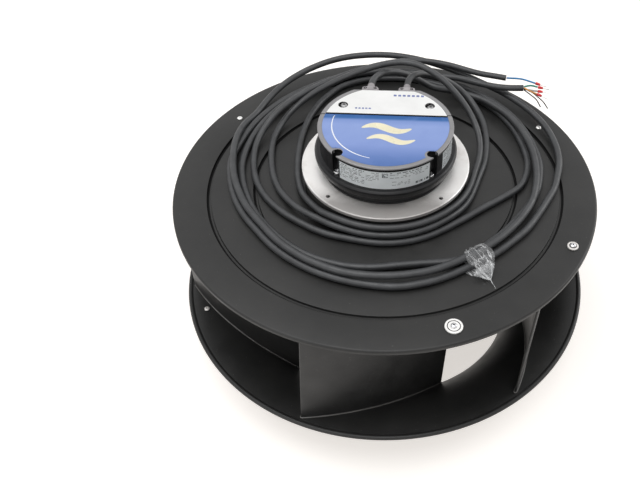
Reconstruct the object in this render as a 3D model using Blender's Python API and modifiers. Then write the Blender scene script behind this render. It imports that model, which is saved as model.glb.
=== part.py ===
"""Backward-curved centrifugal fan with an external-rotor motor, standing on its inlet.

Metres, +Z up. The floor is z = 0, the fan axis is the Z axis through the origin.
The impeller turns about that axis, and the motor's stator, covers and cords stand still.
"""

from math import asin, atan2, cos, pi, radians, sin, sqrt

import bmesh
import bpy
from mathutils import Vector

# Clearances
GAP = 0.0003               # between two pieces that touch
RUNNING_GAP = 0.0008       # between a turning piece and a standing one
BORE_GAP = 0.0003          # between a screw or shaft and its hole
CUT_OVERRUN = 0.010        # a cutter reaches past what it cuts by this

# Turned shapes
DISC_STEPS = 48            # back plate and shroud
MOTOR_STEPS = 36
TUBE_STEPS = 20             # bearings, shaft and their tube
SMALL_STEPS = 10

# Impeller
PLATE_TOP = 0.200          # top of the back plate above the inlet's lower edge
PLATE_RADIUS = 0.225
PLATE_THICK = 0.002
PLATE_EDGE_HEIGHT = 0.0049
PLATE_EDGE_BEND = 0.0035
INNER_GROOVE_OUTSET = 0.0409   # from the rotor's collar to the inner groove
OUTER_GROOVE_INSET = 0.0376    # from the plate's edge to the outer groove
GROOVE_WIDTH = 0.0045
GROOVE_DEPTH = 0.003
GROOVE_SLOPE = 0.0006
GROOVE_FLARE = 0.0016      # the groove is wider below by this on each side

SHROUD_OVERHANG = 0.0066   # the shroud's rim stands out past the plate's edge
SHROUD_THICK = 0.002
RIM_HEIGHT = 0.063         # inner face of the shroud at its rim
RIM_BEAD_RADIUS = 0.0027
INLET_RADIUS = 0.146
INLET_FLAT = 0.003         # straight length at the inlet's lower edge
SHROUD_FLAT = 0.0436       # from the rim to where the ring begins to turn down
SHROUD_THROAT_PULL = 0.037
SHROUD_SEGMENTS = 8

BLADE_COUNT = 6
BLADE_THICK = 0.0025
BLADE_TIP_INSET = 0.0020   # from the plate's edge
BLADE_ROOT_OUTSET = 0.0085 # from the inlet's inner face
BLADE_FOOT_DEPTH = 0.0560  # how far the untrimmed blade reaches below the rim
BLADE_WRAP = radians(46.5)
BLADE_ARC_RADIUS = 0.2417
BLADE_LEAN = radians(3.3)  # the blade's top edge is turned by this against its lower edge
FIRST_TIP_AZIMUTH = radians(-112.4)
BLADE_SEGMENTS = 8
BLADE_LEVELS = 3

# Rotor
ROTOR_RADIUS = 0.0855
ROTOR_WALL = 0.009
ROTOR_BOTTOM = 0.127
ROTOR_FLOOR = 0.006
ROTOR_ROUND = 0.008
ROTOR_COLLAR_RADIUS = 0.098
ROTOR_COLLAR_THICK = 0.005
ROTOR_BOSS_RADIUS = 0.018
ROTOR_BOSS_HEIGHT = 0.010
MAGNET_THICK = 0.0066
MAGNET_HEIGHT = 0.070
MAGNET_RISE = 0.012        # above the rotor's floor
SHAFT_RADIUS = 0.0075
SHAFT_COLLAR = 0.0012
SHAFT_CHAMFER = 0.0005
SHAFT_END = 0.002          # the shaft stands out below the rotor by this
SHAFT_HEADROOM = 0.002     # between the shaft's top and the flange
PLATE_SCREW_COUNT = 6
PLATE_SCREW_PITCH_RADIUS = 0.0918
PLATE_SCREW_RADIUS = 0.0022
PLATE_SCREW_HEAD_RADIUS = 0.0042
PLATE_SCREW_HEAD_HEIGHT = 0.003
PLATE_SCREW_LENGTH = 0.0050

# Rivets and balance washers, as (distance from the plate's or shroud's edge, number of the
# blade that they follow, angle from that blade's line)
RIVET_PLACES = ((0.0245, 2, radians(8.1)), (0.0225, 4, radians(7.8)))
RIVET_HEAD_RADIUS = 0.003
RIVET_HEAD_HEIGHT = 0.0018
RIVET_SHANK_RADIUS = 0.0016
RIVET_TAIL = 0.0008        # the shank stands out below the sheet by this
WEIGHT_PLACES = ((0.0182, 0, radians(27.7)), (0.0152, 1, radians(17.8)))
WEIGHT_RADII = (0.0085, 0.0056)
WEIGHT_THICK = 0.0016
WEIGHT_BORE = 0.0024
WEIGHT_CHAMFER = 0.0004
WEIGHT_STEPS = 16
SHROUD_RIVET_PLACE = (0.0185, 5, radians(6.6))

# Stator
STATOR_TURN = radians(-1.4)
FLANGE_RADIUS = 0.0878
FLANGE_ABOVE_PLATE = 0.0287
FLANGE_TOP = PLATE_TOP + FLANGE_ABOVE_PLATE
FLANGE_RIM_THICK = 0.0042
FLANGE_CORE_RADIUS = 0.074
FLANGE_CORE_THICK = 0.012
FLANGE_ROUND = 0.0015
FLANGE_HOLE_PITCH_RADIUS = 0.080
FLANGE_HOLE_RADIUS = 0.0022
FLANGE_HOLE_COUNT = 4
TUBE_RADIUS = 0.022
TUBE_WALL = 0.0055
TUBE_BOTTOM = 0.146
TUBE_SOCKET = 0.006        # depth of the flange's socket for the tube
TUBE_SEAT_WIDTH = 0.004
BEARING_HEIGHT = 0.009
BEARING_SHOULDER = 0.002
BEARING_GROOVE = 0.0012
CORE_OUTER_RADIUS = 0.0685
CORE_HEIGHT = 0.052
CORE_BOTTOM = 0.153
TOOTH_COUNT = 12
TOOTH_STEM_WIDTH = 0.010
TOOTH_TIP_HEIGHT = 0.005
TOOTH_TIP_SLOPE = 0.002
TOOTH_GAP_ANGLE = radians(4.0)
CORE_YOKE = 0.010
WINDING_INNER_RADIUS = 0.034
WINDING_OUTER_RADIUS = 0.061
WINDING_HEIGHT = 0.010
WINDING_STEPS = 24

# Electronics housing
HOUSING_FLAT = 0.059       # distance of the flat back wall from the axis
NECK_RADIUS = 0.066
NECK_HEIGHT = 0.0115
COLLAR_RADIUS = 0.0734
COLLAR_HEIGHT = 0.0072
COLLAR_SLOPE = 0.0018
WALL_RADIUS = 0.0677
HOUSING_HEIGHT = 0.0433    # from the flange to the top of the wall
WALL_TOP = FLANGE_TOP + HOUSING_HEIGHT
HOUSING_HOLLOW_RADIUS = 0.055
HOUSING_FLOOR = 0.004
POCKET_RADIUS = 0.0053
POCKET_PITCH_RADIUS = 0.0645
POCKET_AZIMUTHS = (radians(-135.6), radians(-44.4))
POCKET_DEPTH = 0.023
BOARD_RADIUS = 0.053
BOARD_THICK = 0.0016
BOARD_STEPS = 24
BOARD_POST_RADIUS = 0.006
BOARD_POST_HEIGHT = 0.0075
CAPACITOR_RADIUS = 0.008
CAPACITOR_HEIGHT = 0.0135
CAPACITOR_CHAMFER = 0.0008
CAPACITOR_HEADROOM = 0.001 # below the covers
CAPACITOR_STEPS = 16
CAPACITOR_PLACES = ((-0.020, -0.018), (0.002, -0.024))

# Covers
COVER_RADIUS = 0.069
COVER_THICK = 0.0040
COVER_ROUND = 0.0008
COVER_SEAM = 0.0160        # distance of the seam from the axis
COVER_SEAM_WIDTH = 0.0010
COVER_SCREW_X = 0.0450
COVER_SCREW_Y = 0.0325
COVER_SCREW_SINK_RADIUS = 0.0050
COVER_SCREW_SINK_DEPTH = 0.0026
COVER_SCREW_RADIUS = 0.0018
COVER_SCREW_HEAD_RADIUS = 0.0036
COVER_SCREW_HEAD_HEIGHT = 0.0018
COVER_SCREW_LENGTH = 0.0085
COVER_SCREW_RUNOUT = 0.002 # the screw hole is deeper than the screw by this

# Strain reliefs
GLAND_SPACING = 0.039
GLAND_DROP = 0.0075        # from the top of the wall to the cords
GLAND_HEIGHT = WALL_TOP - GLAND_DROP
GLAND_LENGTH = 0.016
GLAND_FOOT_RADIUS = 0.0068
GLAND_FOOT_LENGTH = 0.004
GLAND_NECK_RADIUS = 0.0050
GLAND_STEPS = 16

# Cords
POWER_CORD_RADIUS = 0.00375
CONTROL_CORD_RADIUS = 0.0035
CORD_POINT_SPACING = 3.0   # in cord diameters
COIL_CENTRE_Y = 0.022
COIL_STRETCH = 1.045       # the coil is longer along Y by this
COIL_INNER_RADIUS = 0.1520
COIL_OUTER_RADIUS = 0.1695
COIL_LOW = 0.2004
COIL_HIGH = 0.2160
COIL_CHAMFER = 0.0030
COIL_STEPS = 36
TIE_AZIMUTH = radians(-57.0)
TIE_LENGTH = 0.026
TIE_WALL = 0.0022
TIE_FOOT_CLEARANCE = 0.0010
TIE_ROUND = 0.003

# Routes of the cords outside the coil, as points in metres
POWER_LEAD_ROUTE = (
    (-0.0176, 0.0764, 0.2645), (-0.0173, 0.0870, 0.2645), (-0.0140, 0.0985, 0.2640),
    (-0.0070, 0.1100, 0.2620), (0.0030, 0.1205, 0.2575), (0.0145, 0.1300, 0.2500),
    (0.0275, 0.1385, 0.2395), (0.0410, 0.1450, 0.2275), (0.0540, 0.1490, 0.2175))
POWER_OUTER_ROUTE = (
    (-0.1530, 0.1110, 0.2042), (-0.1425, 0.1345, 0.2070), (-0.1245, 0.1600, 0.2125),
    (-0.0985, 0.1815, 0.2180), (-0.0660, 0.1975, 0.2225), (-0.0300, 0.2060, 0.2240),
    (0.0080, 0.2075, 0.2230), (0.0450, 0.2025, 0.2190), (0.0800, 0.1900, 0.2145),
    (0.1110, 0.1720, 0.2108), (0.1400, 0.1500, 0.2092), (0.1660, 0.1190, 0.2085),
    (0.1820, 0.0880, 0.2075), (0.1895, 0.0570, 0.2060), (0.1900, 0.0300, 0.2044),
    (0.1843, 0.0052, 0.2042), (0.1768, -0.0173, 0.2042), (0.1671, -0.0415, 0.2042),
    (0.1556, -0.0644, 0.2042), (0.1423, -0.0860, 0.2042), (0.1265, -0.1057, 0.2042),
    (0.1131, -0.1188, 0.2042))
POWER_TAIL_ROUTE = (
    (0.1010, 0.1580, 0.2203), (0.1170, 0.1515, 0.2206), (0.1310, 0.1478, 0.2205),
    (0.1455, 0.1467, 0.2202), (0.1602, 0.1474, 0.2200))
CONTROL_LEAD_ROUTE = (
    (0.0213, 0.0753, 0.2645), (0.0217, 0.0870, 0.2645), (0.0245, 0.0990, 0.2638),
    (0.0300, 0.1110, 0.2605), (0.0385, 0.1220, 0.2550), (0.0490, 0.1310, 0.2475),
    (0.0610, 0.1375, 0.2390), (0.0735, 0.1405, 0.2300), (0.0855, 0.1390, 0.2215),
    (0.0960, 0.1320, 0.2140), (0.1045, 0.1190, 0.2080), (0.1103, 0.1017, 0.2050),
    (0.1124, 0.0826, 0.2039), (0.1120, 0.0574, 0.2039), (0.1076, 0.0287, 0.2039),
    (0.1002, 0.0052, 0.2039), (0.0934, -0.0165, 0.2039), (0.0862, -0.0348, 0.2045),
    (0.0776, -0.0504, 0.2073), (0.0665, -0.0643, 0.2103), (0.0517, -0.0767, 0.2111),
    (0.0347, -0.0858, 0.2111), (0.0161, -0.0911, 0.2111), (-0.0032, -0.0924, 0.2111),
    (-0.0224, -0.0898, 0.2111), (-0.0408, -0.0836, 0.2111), (-0.0557, -0.0767, 0.2108),
    (-0.0859, -0.0552, 0.2085), (-0.1039, -0.0337, 0.2055), (-0.1155, -0.0126, 0.2039),
    (-0.1220, 0.0072, 0.2039), (-0.1258, 0.0271, 0.2039), (-0.1279, 0.0477, 0.2039),
    (-0.1273, 0.0669, 0.2042), (-0.1222, 0.0861, 0.2060), (-0.1135, 0.1020, 0.2110),
    (-0.1006, 0.1127, 0.2190), (-0.0854, 0.1185, 0.2285), (-0.0689, 0.1205, 0.2385),
    (-0.0514, 0.1219, 0.2475), (-0.0341, 0.1225, 0.2555), (-0.0171, 0.1225, 0.2625),
    (-0.0001, 0.1217, 0.2680), (0.0156, 0.1200, 0.2710), (0.0301, 0.1163, 0.2715),
    (0.0446, 0.1104, 0.2685), (0.0587, 0.1038, 0.2620), (0.0717, 0.0961, 0.2530),
    (0.0832, 0.0877, 0.2430), (0.0924, 0.0783, 0.2330), (0.0985, 0.0672, 0.2250),
    (0.1022, 0.0545, 0.2188), (0.1028, 0.0405, 0.2142), (0.1008, 0.0250, 0.2120),
    (0.0964, 0.0084, 0.2115), (0.0917, -0.0096, 0.2118), (0.0859, -0.0279, 0.2133),
    (0.0777, -0.0448, 0.2152), (0.0666, -0.0600, 0.2172), (0.0527, -0.0725, 0.2182),
    (0.0364, -0.0819, 0.2184), (0.0186, -0.0876, 0.2184), (0.0000, -0.0896, 0.2184),
    (-0.0186, -0.0876, 0.2184), (-0.0364, -0.0819, 0.2184), (-0.0527, -0.0725, 0.2172),
    (-0.0657, -0.0612, 0.2138), (-0.0826, -0.0364, 0.2085), (-0.0896, -0.0181, 0.2050),
    (-0.0940, 0.0014, 0.2039), (-0.0962, 0.0211, 0.2039), (-0.0973, 0.0432, 0.2039),
    (-0.0966, 0.0680, 0.2039), (-0.0932, 0.0939, 0.2039), (-0.0869, 0.1180, 0.2039),
    (-0.0780, 0.1390, 0.2039), (-0.0682, 0.1539, 0.2039))
CONTROL_TAIL_ROUTE = (
    (0.1431, -0.0101, 0.2039), (0.1349, -0.0180, 0.2039), (0.1268, -0.0249, 0.2039),
    (0.1147, -0.0344, 0.2039), (0.1029, -0.0427, 0.2039), (0.0909, -0.0525, 0.2039),
    (0.0790, -0.0618, 0.2039), (0.0677, -0.0701, 0.2039), (0.0552, -0.0789, 0.2039),
    (0.0390, -0.0877, 0.2039), (0.0200, -0.0939, 0.2039), (0.0000, -0.0960, 0.2039),
    (-0.0183, -0.0942, 0.2039), (-0.0331, -0.0910, 0.2039), (-0.0528, -0.0861, 0.2039),
    (-0.0686, -0.0794, 0.2039), (-0.0849, -0.0694, 0.2039), (-0.1006, -0.0582, 0.2039),
    (-0.1144, -0.0451, 0.2039), (-0.1261, -0.0302, 0.2039), (-0.1352, -0.0133, 0.2039),
    (-0.1415, 0.0051, 0.2039), (-0.1450, 0.0249, 0.2039), (-0.1460, 0.0444, 0.2048),
    (-0.1435, 0.0601, 0.2078), (-0.1376, 0.0745, 0.2123), (-0.1291, 0.0882, 0.2175),
    (-0.1190, 0.1022, 0.2207), (-0.1065, 0.1165, 0.2228), (-0.0908, 0.1302, 0.2250),
    (-0.0734, 0.1424, 0.2270), (-0.0547, 0.1548, 0.2280), (-0.0344, 0.1668, 0.2285),
    (-0.0131, 0.1776, 0.2285), (0.0085, 0.1863, 0.2280), (0.0305, 0.1913, 0.2270),
    (0.0525, 0.1914, 0.2255), (0.0733, 0.1873, 0.2240), (0.0926, 0.1805, 0.2225),
    (0.1094, 0.1746, 0.2213), (0.1250, 0.1714, 0.2205), (0.1417, 0.1676, 0.2200))

# Wires at the cords' far ends, each (name, start, middle, ferrule's near end)
WIRE_RADIUS = 0.0011
THIN_WIRE_RADIUS = 0.0007
FERRULE_RADIUS = 0.0018
FERRULE_LENGTH = 0.0060
FERRULE_PIN_RADIUS = 0.0007
FERRULE_PIN_LENGTH = 0.0080
WIRE_ROUTES = (
    ("blue", (0.1423, 0.1676, 0.2200), (0.1600, 0.1650, 0.2206), (0.1760, 0.1575, 0.2200)),
    ("green", (0.1614, 0.1488, 0.2209), (0.1695, 0.1500, 0.2218), (0.1775, 0.1480, 0.2212)),
    ("grey", (0.1614, 0.1474, 0.2185), (0.1690, 0.1446, 0.2190), (0.1768, 0.1420, 0.2196)),
    ("orange", (0.1614, 0.1460, 0.2209), (0.1680, 0.1405, 0.2204), (0.1755, 0.1360, 0.2196)))
THIN_WIRE_ROUTES = (
    ("a", (0.1614, 0.1454, 0.2186), (0.1680, 0.1385, 0.2172), (0.1755, 0.1340, 0.2130),
     (0.1812, 0.1315, 0.2045)),
    ("b", (0.1614, 0.1493, 0.2186), (0.1685, 0.1478, 0.2162), (0.1760, 0.1410, 0.2138),
     (0.1840, 0.1340, 0.2100), (0.1895, 0.1285, 0.2045)))

# Colours (linear), roughness, metallic
BLACK_PAINT = ((0.050, 0.050, 0.049, 1), 0.42, 0.0)
BLACK_PLASTIC = ((0.022, 0.022, 0.023, 1), 0.5, 0.0)
GREY_PLASTIC = ((0.16, 0.155, 0.16, 1), 0.55, 0.0)
CORD_BLACK = ((0.045, 0.046, 0.048, 1), 0.55, 0.0)
ALUMINIUM = ((0.72, 0.72, 0.73, 1), 0.28, 1.0)
COVER_GREY = ((0.42, 0.41, 0.41, 1), 0.45, 0.6)
STEEL = ((0.55, 0.55, 0.56, 1), 0.3, 1.0)
COPPER = ((0.55, 0.22, 0.08, 1), 0.35, 1.0)
LAMINATION = ((0.18, 0.18, 0.19, 1), 0.5, 0.8)
MAGNET = ((0.07, 0.07, 0.075, 1), 0.5, 0.3)
BOARD_GREEN = ((0.02, 0.14, 0.06, 1), 0.5, 0.0)
CLEAR_FILM = ((0.75, 0.76, 0.76, 1), 0.2, 0.0)
FERRULE_RED = ((0.72, 0.03, 0.03, 1), 0.4, 0.0)
WIRE_COLOURS = {
    "blue": ((0.03, 0.25, 0.55, 1), 0.45, 0.0),
    "green": ((0.05, 0.30, 0.22, 1), 0.45, 0.0),
    "grey": ((0.45, 0.45, 0.44, 1), 0.45, 0.0),
    "orange": ((0.70, 0.28, 0.06, 1), 0.45, 0.0),
}


def clear_scene():
    for obj in list(bpy.data.objects):
        bpy.data.objects.remove(obj, do_unlink=True)


def new_collection(name):
    collection = bpy.data.collections.new(name)
    bpy.context.scene.collection.children.link(collection)
    return collection


clear_scene()
PARTS = new_collection("centrifugal_fan")
CUTTERS = new_collection("cutters")


def material(name, look):
    colour, roughness, metallic = look
    mat = bpy.data.materials.new(name)
    mat.use_nodes = True
    shader = mat.node_tree.nodes["Principled BSDF"]
    shader.inputs["Base Color"].default_value = colour
    shader.inputs["Roughness"].default_value = roughness
    shader.inputs["Metallic"].default_value = metallic
    mat.diffuse_color = colour
    return mat


def empty(name, turn=0.0):
    obj = bpy.data.objects.new(name, None)
    PARTS.objects.link(obj)
    obj.rotation_euler.z = turn
    return obj


def add_part(name, data, look, parent=None, place=(0, 0, 0), turn=(0, 0, 0)):
    obj = bpy.data.objects.new(name, data)
    PARTS.objects.link(obj)
    obj.data.materials.append(material(name, look))
    obj.parent = parent
    obj.location = place
    obj.rotation_euler = turn
    return obj


def as_cutter(obj):
    for collection in list(obj.users_collection):
        collection.objects.unlink(obj)
    CUTTERS.objects.link(obj)
    obj.hide_render = True
    obj.display_type = 'WIRE'
    return obj


def cut(obj, cutter):
    mod = obj.modifiers.new(cutter.name, 'BOOLEAN')
    mod.operation = 'DIFFERENCE'
    mod.solver = 'EXACT'
    mod.object = cutter
    return obj


def loop_area(points):
    pairs = zip(points, list(points[1:]) + [points[0]])
    return sum(a[0] * b[1] - b[0] * a[1] for a, b in pairs) / 2


def profile_mesh(name, points, closed):
    """A profile in the XZ plane that runs down its outer side."""
    points = list(points)
    if closed and loop_area(points) > 0:
        points.reverse()
    mesh = bpy.data.meshes.new(name)
    edges = [(i, i + 1) for i in range(len(points) - 1)]
    if closed:
        edges.append((len(points) - 1, 0))
    mesh.from_pydata([(x, 0, z) for x, z in points], edges, [])
    return mesh


def spin(obj, steps):
    mod = obj.modifiers.new("turned", 'SCREW')
    mod.axis = 'Z'
    mod.angle = 2 * pi
    mod.screw_offset = 0
    mod.steps = steps
    mod.render_steps = steps
    mod.use_merge_vertices = True
    mod.merge_threshold = 0.00001
    mod.use_smooth_shade = True
    return obj


def turned_ring(name, points, steps, look, parent=None, place=(0, 0, 0)):
    """A turned piece with a hole on its axis, from a closed profile of (radius, height)."""
    return spin(add_part(name, profile_mesh(name, points, True), look, parent, place), steps)


def turned_solid(name, points, steps, look, parent=None, place=(0, 0, 0), turn=(0, 0, 0)):
    """A turned piece without a hole: the profile runs from the axis at the top, round the
    outside, to the axis at the bottom."""
    mesh = profile_mesh(name, points, False)
    return spin(add_part(name, mesh, look, parent, place, turn), steps)


def cylinder_cutter(name, radius, low, high, place=(0, 0), steps=24, parent=None):
    mesh = bpy.data.meshes.new(name)
    shape = bmesh.new()
    bmesh.ops.create_cone(shape, cap_ends=True, segments=steps, radius1=radius, radius2=radius,
                          depth=high - low)
    shape.to_mesh(mesh)
    shape.free()
    obj = bpy.data.objects.new(name, mesh)
    PARTS.objects.link(obj)
    obj.parent = parent
    obj.location = (place[0], place[1], (low + high) / 2)
    return as_cutter(obj)


def box_cutter(name, low, high, parent=None, turn=0.0):
    mesh = bpy.data.meshes.new(name)
    shape = bmesh.new()
    bmesh.ops.create_cube(shape, size=1.0)
    size = [high[i] - low[i] for i in range(3)]
    bmesh.ops.scale(shape, vec=size, verts=shape.verts)
    shape.to_mesh(mesh)
    shape.free()
    obj = bpy.data.objects.new(name, mesh)
    PARTS.objects.link(obj)
    obj.parent = parent
    obj.location = [(high[i] + low[i]) / 2 for i in range(3)]
    obj.rotation_euler.z = turn
    return as_cutter(obj)


def polar(radius, azimuth):
    return (radius * cos(azimuth), radius * sin(azimuth))


# Impeller

def groove_radii():
    return (ROTOR_COLLAR_RADIUS + INNER_GROOVE_OUTSET, PLATE_RADIUS - OUTER_GROOVE_INSET)


def shroud_radius():
    return PLATE_RADIUS + SHROUD_OVERHANG


def groove_outline(radius, level, depth, half_width):
    """The four points of a pressed groove, from the inside outwards."""
    return [(radius - half_width, level), (radius - half_width + GROOVE_SLOPE, level - depth),
            (radius + half_width - GROOVE_SLOPE, level - depth), (radius + half_width, level)]


def plate_underside(level, grow):
    """The lower outline of the back plate, lowered and widened by grow, from the inside out."""
    points = []
    for radius in groove_radii():
        half_width = GROOVE_WIDTH / 2 + GROOVE_FLARE + grow
        points += groove_outline(radius, level, GROOVE_DEPTH, half_width)
    return points


def plate_hole_radius():
    return ROTOR_RADIUS + GAP


def make_back_plate(parent):
    top = PLATE_TOP
    under = top - PLATE_THICK
    edge_low = top - PLATE_EDGE_HEIGHT
    bend = PLATE_EDGE_BEND
    outline = [(plate_hole_radius(), top)]
    for radius in groove_radii():
        outline += groove_outline(radius, top, GROOVE_DEPTH, GROOVE_WIDTH / 2)
    outline += [(PLATE_RADIUS - bend, top), (PLATE_RADIUS - bend * 0.3, top - bend * 0.3),
                (PLATE_RADIUS, top - bend), (PLATE_RADIUS, edge_low),
                (PLATE_RADIUS - PLATE_THICK, edge_low),
                (PLATE_RADIUS - bend, under)]
    outline += reversed(plate_underside(under, 0.0))
    outline.append((plate_hole_radius(), under))
    return turned_ring("back_plate", outline, DISC_STEPS, BLACK_PAINT, parent)


def shroud_curve(offset):
    """The shroud's inner face as (radius, height), from the rim to the throat, moved by offset
    into the sheet."""
    controls = [Vector((shroud_radius() - 2 * RIM_BEAD_RADIUS, RIM_HEIGHT)),
                Vector((shroud_radius() - SHROUD_FLAT, RIM_HEIGHT)),
                Vector((INLET_RADIUS, SHROUD_THROAT_PULL)),
                Vector((INLET_RADIUS, INLET_FLAT))]
    points = []
    for i in range(SHROUD_SEGMENTS + 1):
        t = i / SHROUD_SEGMENTS
        weights = ((1 - t) ** 3, 3 * (1 - t) ** 2 * t, 3 * (1 - t) * t * t, t ** 3)
        point = sum((w * c for w, c in zip(weights, controls)), Vector((0, 0)))
        slopes = (3 * (1 - t) ** 2, 6 * (1 - t) * t, 3 * t * t)
        steps = [controls[k + 1] - controls[k] for k in range(3)]
        slope = sum((w * s for w, s in zip(slopes, steps)), Vector((0, 0))).normalized()
        into_sheet = Vector((-slope.y, slope.x))
        points.append(tuple(point + into_sheet * offset))
    return points


def make_shroud(parent):
    inner = shroud_curve(0.0)
    outer = shroud_curve(SHROUD_THICK)
    bead_centre = (shroud_radius() - RIM_BEAD_RADIUS, RIM_HEIGHT - SHROUD_THICK / 2)
    bead = []
    for angle in range(130, -131, -52):
        bead.append((bead_centre[0] + RIM_BEAD_RADIUS * cos(radians(angle)),
                     bead_centre[1] + RIM_BEAD_RADIUS * sin(radians(angle))))
    bead.insert(3, (shroud_radius(), bead_centre[1]))
    outline = inner + [(INLET_RADIUS, 0.0), (INLET_RADIUS + SHROUD_THICK, 0.0)]
    outline += list(reversed(outer)) + list(reversed(bead))
    return turned_ring("shroud", outline, DISC_STEPS, BLACK_PAINT, parent)


def blade_arc(lean):
    """Plan points of a blade's middle surface, from root to tip, on one arc that bulges
    outwards."""
    tip_azimuth = FIRST_TIP_AZIMUTH + lean
    root_radius = INLET_RADIUS + BLADE_ROOT_OUTSET
    tip_radius = PLATE_RADIUS - BLADE_TIP_INSET
    root = Vector(polar(root_radius, tip_azimuth + BLADE_WRAP))
    tip = Vector(polar(tip_radius, tip_azimuth))
    chord = tip - root
    outwards = Vector((-chord.y, chord.x)).normalized()
    middle = (root + tip) / 2
    if outwards.dot(middle) < 0:
        outwards.negate()
    centre = middle - outwards * sqrt(BLADE_ARC_RADIUS ** 2 - (chord.length / 2) ** 2)
    start = atan2(root.y - centre.y, root.x - centre.x)
    sweep = 2 * asin(chord.length / 2 / BLADE_ARC_RADIUS)
    points = []
    for i in range(BLADE_SEGMENTS + 1):
        angle = start - sweep * i / BLADE_SEGMENTS
        points.append(centre + BLADE_ARC_RADIUS * Vector((cos(angle), sin(angle))))
    return points


def beside_blade(radius, number, offset, lean):
    """Plan point at a radius, turned by offset from a blade's line at that radius."""
    line = blade_arc(lean)
    nearest = min(line, key=lambda point: abs(point.length - radius))
    turn = atan2(nearest.y, nearest.x) + 2 * pi * number / BLADE_COUNT + offset
    return polar(radius, turn)


def blade_mesh():
    """The blade's middle surface, lofted between its lower and its upper arc."""
    low = RIM_HEIGHT - BLADE_FOOT_DEPTH
    high = PLATE_TOP
    rows = []
    for level in range(BLADE_LEVELS + 1):
        share = level / BLADE_LEVELS
        height = low + (high - low) * share
        rows.append([(p.x, p.y, height) for p in blade_arc(BLADE_LEAN * share)])
    width = BLADE_SEGMENTS + 1
    verts = [point for row in rows for point in row]
    faces = []
    for level in range(BLADE_LEVELS):
        for i in range(BLADE_SEGMENTS):
            first = level * width + i
            faces.append((first, first + 1, first + width + 1, first + width))
    mesh = bpy.data.meshes.new("blade")
    mesh.from_pydata(verts, [], faces)
    return mesh


def make_blade_cutters():
    """Solids that trim a blade to the back plate's underside and to the shroud's inner face."""
    beyond = shroud_radius() + CUT_OVERRUN
    inside = plate_hole_radius()
    under = PLATE_TOP - PLATE_THICK - GAP
    above = PLATE_TOP + CUT_OVERRUN
    edge_low = PLATE_TOP - PLATE_EDGE_HEIGHT - GAP
    plate_line = [(inside, under)] + plate_underside(under, GAP)
    plate_line += [(PLATE_RADIUS - PLATE_EDGE_BEND - GAP, under),
                   (PLATE_RADIUS - PLATE_THICK - GAP, edge_low), (beyond, edge_low)]
    plate_outline = plate_line + [(beyond, above), (inside, above)]
    plate_cutter = turned_ring("plate_trim", plate_outline, DISC_STEPS, BLACK_PAINT)
    shroud_line = shroud_curve(-GAP)
    shroud_outline = [(beyond, shroud_line[0][1])] + shroud_line
    shroud_outline += [(shroud_line[-1][0], -CUT_OVERRUN), (beyond, -CUT_OVERRUN)]
    shroud_cutter = turned_ring("shroud_trim", shroud_outline, DISC_STEPS, BLACK_PAINT)
    return as_cutter(plate_cutter), as_cutter(shroud_cutter)


def make_blades(parent):
    mesh = blade_mesh()
    cutters = make_blade_cutters()
    mesh.materials.append(material("blade", BLACK_PAINT))
    for number in range(BLADE_COUNT):
        blade = bpy.data.objects.new(f"blade_{number + 1}", mesh)
        PARTS.objects.link(blade)
        blade.parent = parent
        blade.rotation_euler.z = 2 * pi * number / BLADE_COUNT
        sheet = blade.modifiers.new("sheet", 'SOLIDIFY')
        sheet.thickness = BLADE_THICK
        sheet.offset = 0
        for cutter in cutters:
            cut(blade, cutter)


# Rotor

def rotor_top():
    return FLANGE_TOP - FLANGE_RIM_THICK - RUNNING_GAP


def rotor_inner_radius():
    return ROTOR_RADIUS - ROTOR_WALL


def collar_top():
    return PLATE_TOP - PLATE_THICK - GAP


def make_rotor_housing(parent):
    inner = rotor_inner_radius()
    floor_top = ROTOR_BOTTOM + ROTOR_FLOOR
    bore = SHAFT_RADIUS + BORE_GAP
    boss_top = floor_top + ROTOR_BOSS_HEIGHT
    outline = [(ROTOR_RADIUS, rotor_top()), (ROTOR_RADIUS, collar_top()),
               (ROTOR_COLLAR_RADIUS, collar_top()),
               (ROTOR_COLLAR_RADIUS, collar_top() - ROTOR_COLLAR_THICK),
               (ROTOR_RADIUS, collar_top() - ROTOR_COLLAR_THICK),
               (ROTOR_RADIUS, ROTOR_BOTTOM + ROTOR_ROUND),
               (ROTOR_RADIUS - ROTOR_ROUND * 0.3, ROTOR_BOTTOM + ROTOR_ROUND * 0.3),
               (ROTOR_RADIUS - ROTOR_ROUND, ROTOR_BOTTOM),
               (bore, ROTOR_BOTTOM), (bore, boss_top), (ROTOR_BOSS_RADIUS, boss_top),
               (ROTOR_BOSS_RADIUS, floor_top), (inner, floor_top), (inner, rotor_top())]
    housing = turned_ring("rotor_housing", outline, MOTOR_STEPS, BLACK_PAINT, parent)
    for number in range(PLATE_SCREW_COUNT):
        place = polar(PLATE_SCREW_PITCH_RADIUS, 2 * pi * (number + 0.5) / PLATE_SCREW_COUNT)
        hole = cylinder_cutter(f"collar_hole_{number + 1}", PLATE_SCREW_RADIUS + BORE_GAP,
                               collar_top() - 2 * ROTOR_COLLAR_THICK,
                               collar_top() + ROTOR_COLLAR_THICK,
                               place, SMALL_STEPS, parent)
        cut(housing, hole)
    return housing


def make_magnet_ring(parent):
    outer = rotor_inner_radius() - GAP
    low = ROTOR_BOTTOM + ROTOR_FLOOR + MAGNET_RISE
    outline = [(outer - MAGNET_THICK, low), (outer, low),
               (outer, low + MAGNET_HEIGHT), (outer - MAGNET_THICK, low + MAGNET_HEIGHT)]
    return turned_ring("magnet_ring", outline, MOTOR_STEPS, MAGNET, parent)


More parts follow.
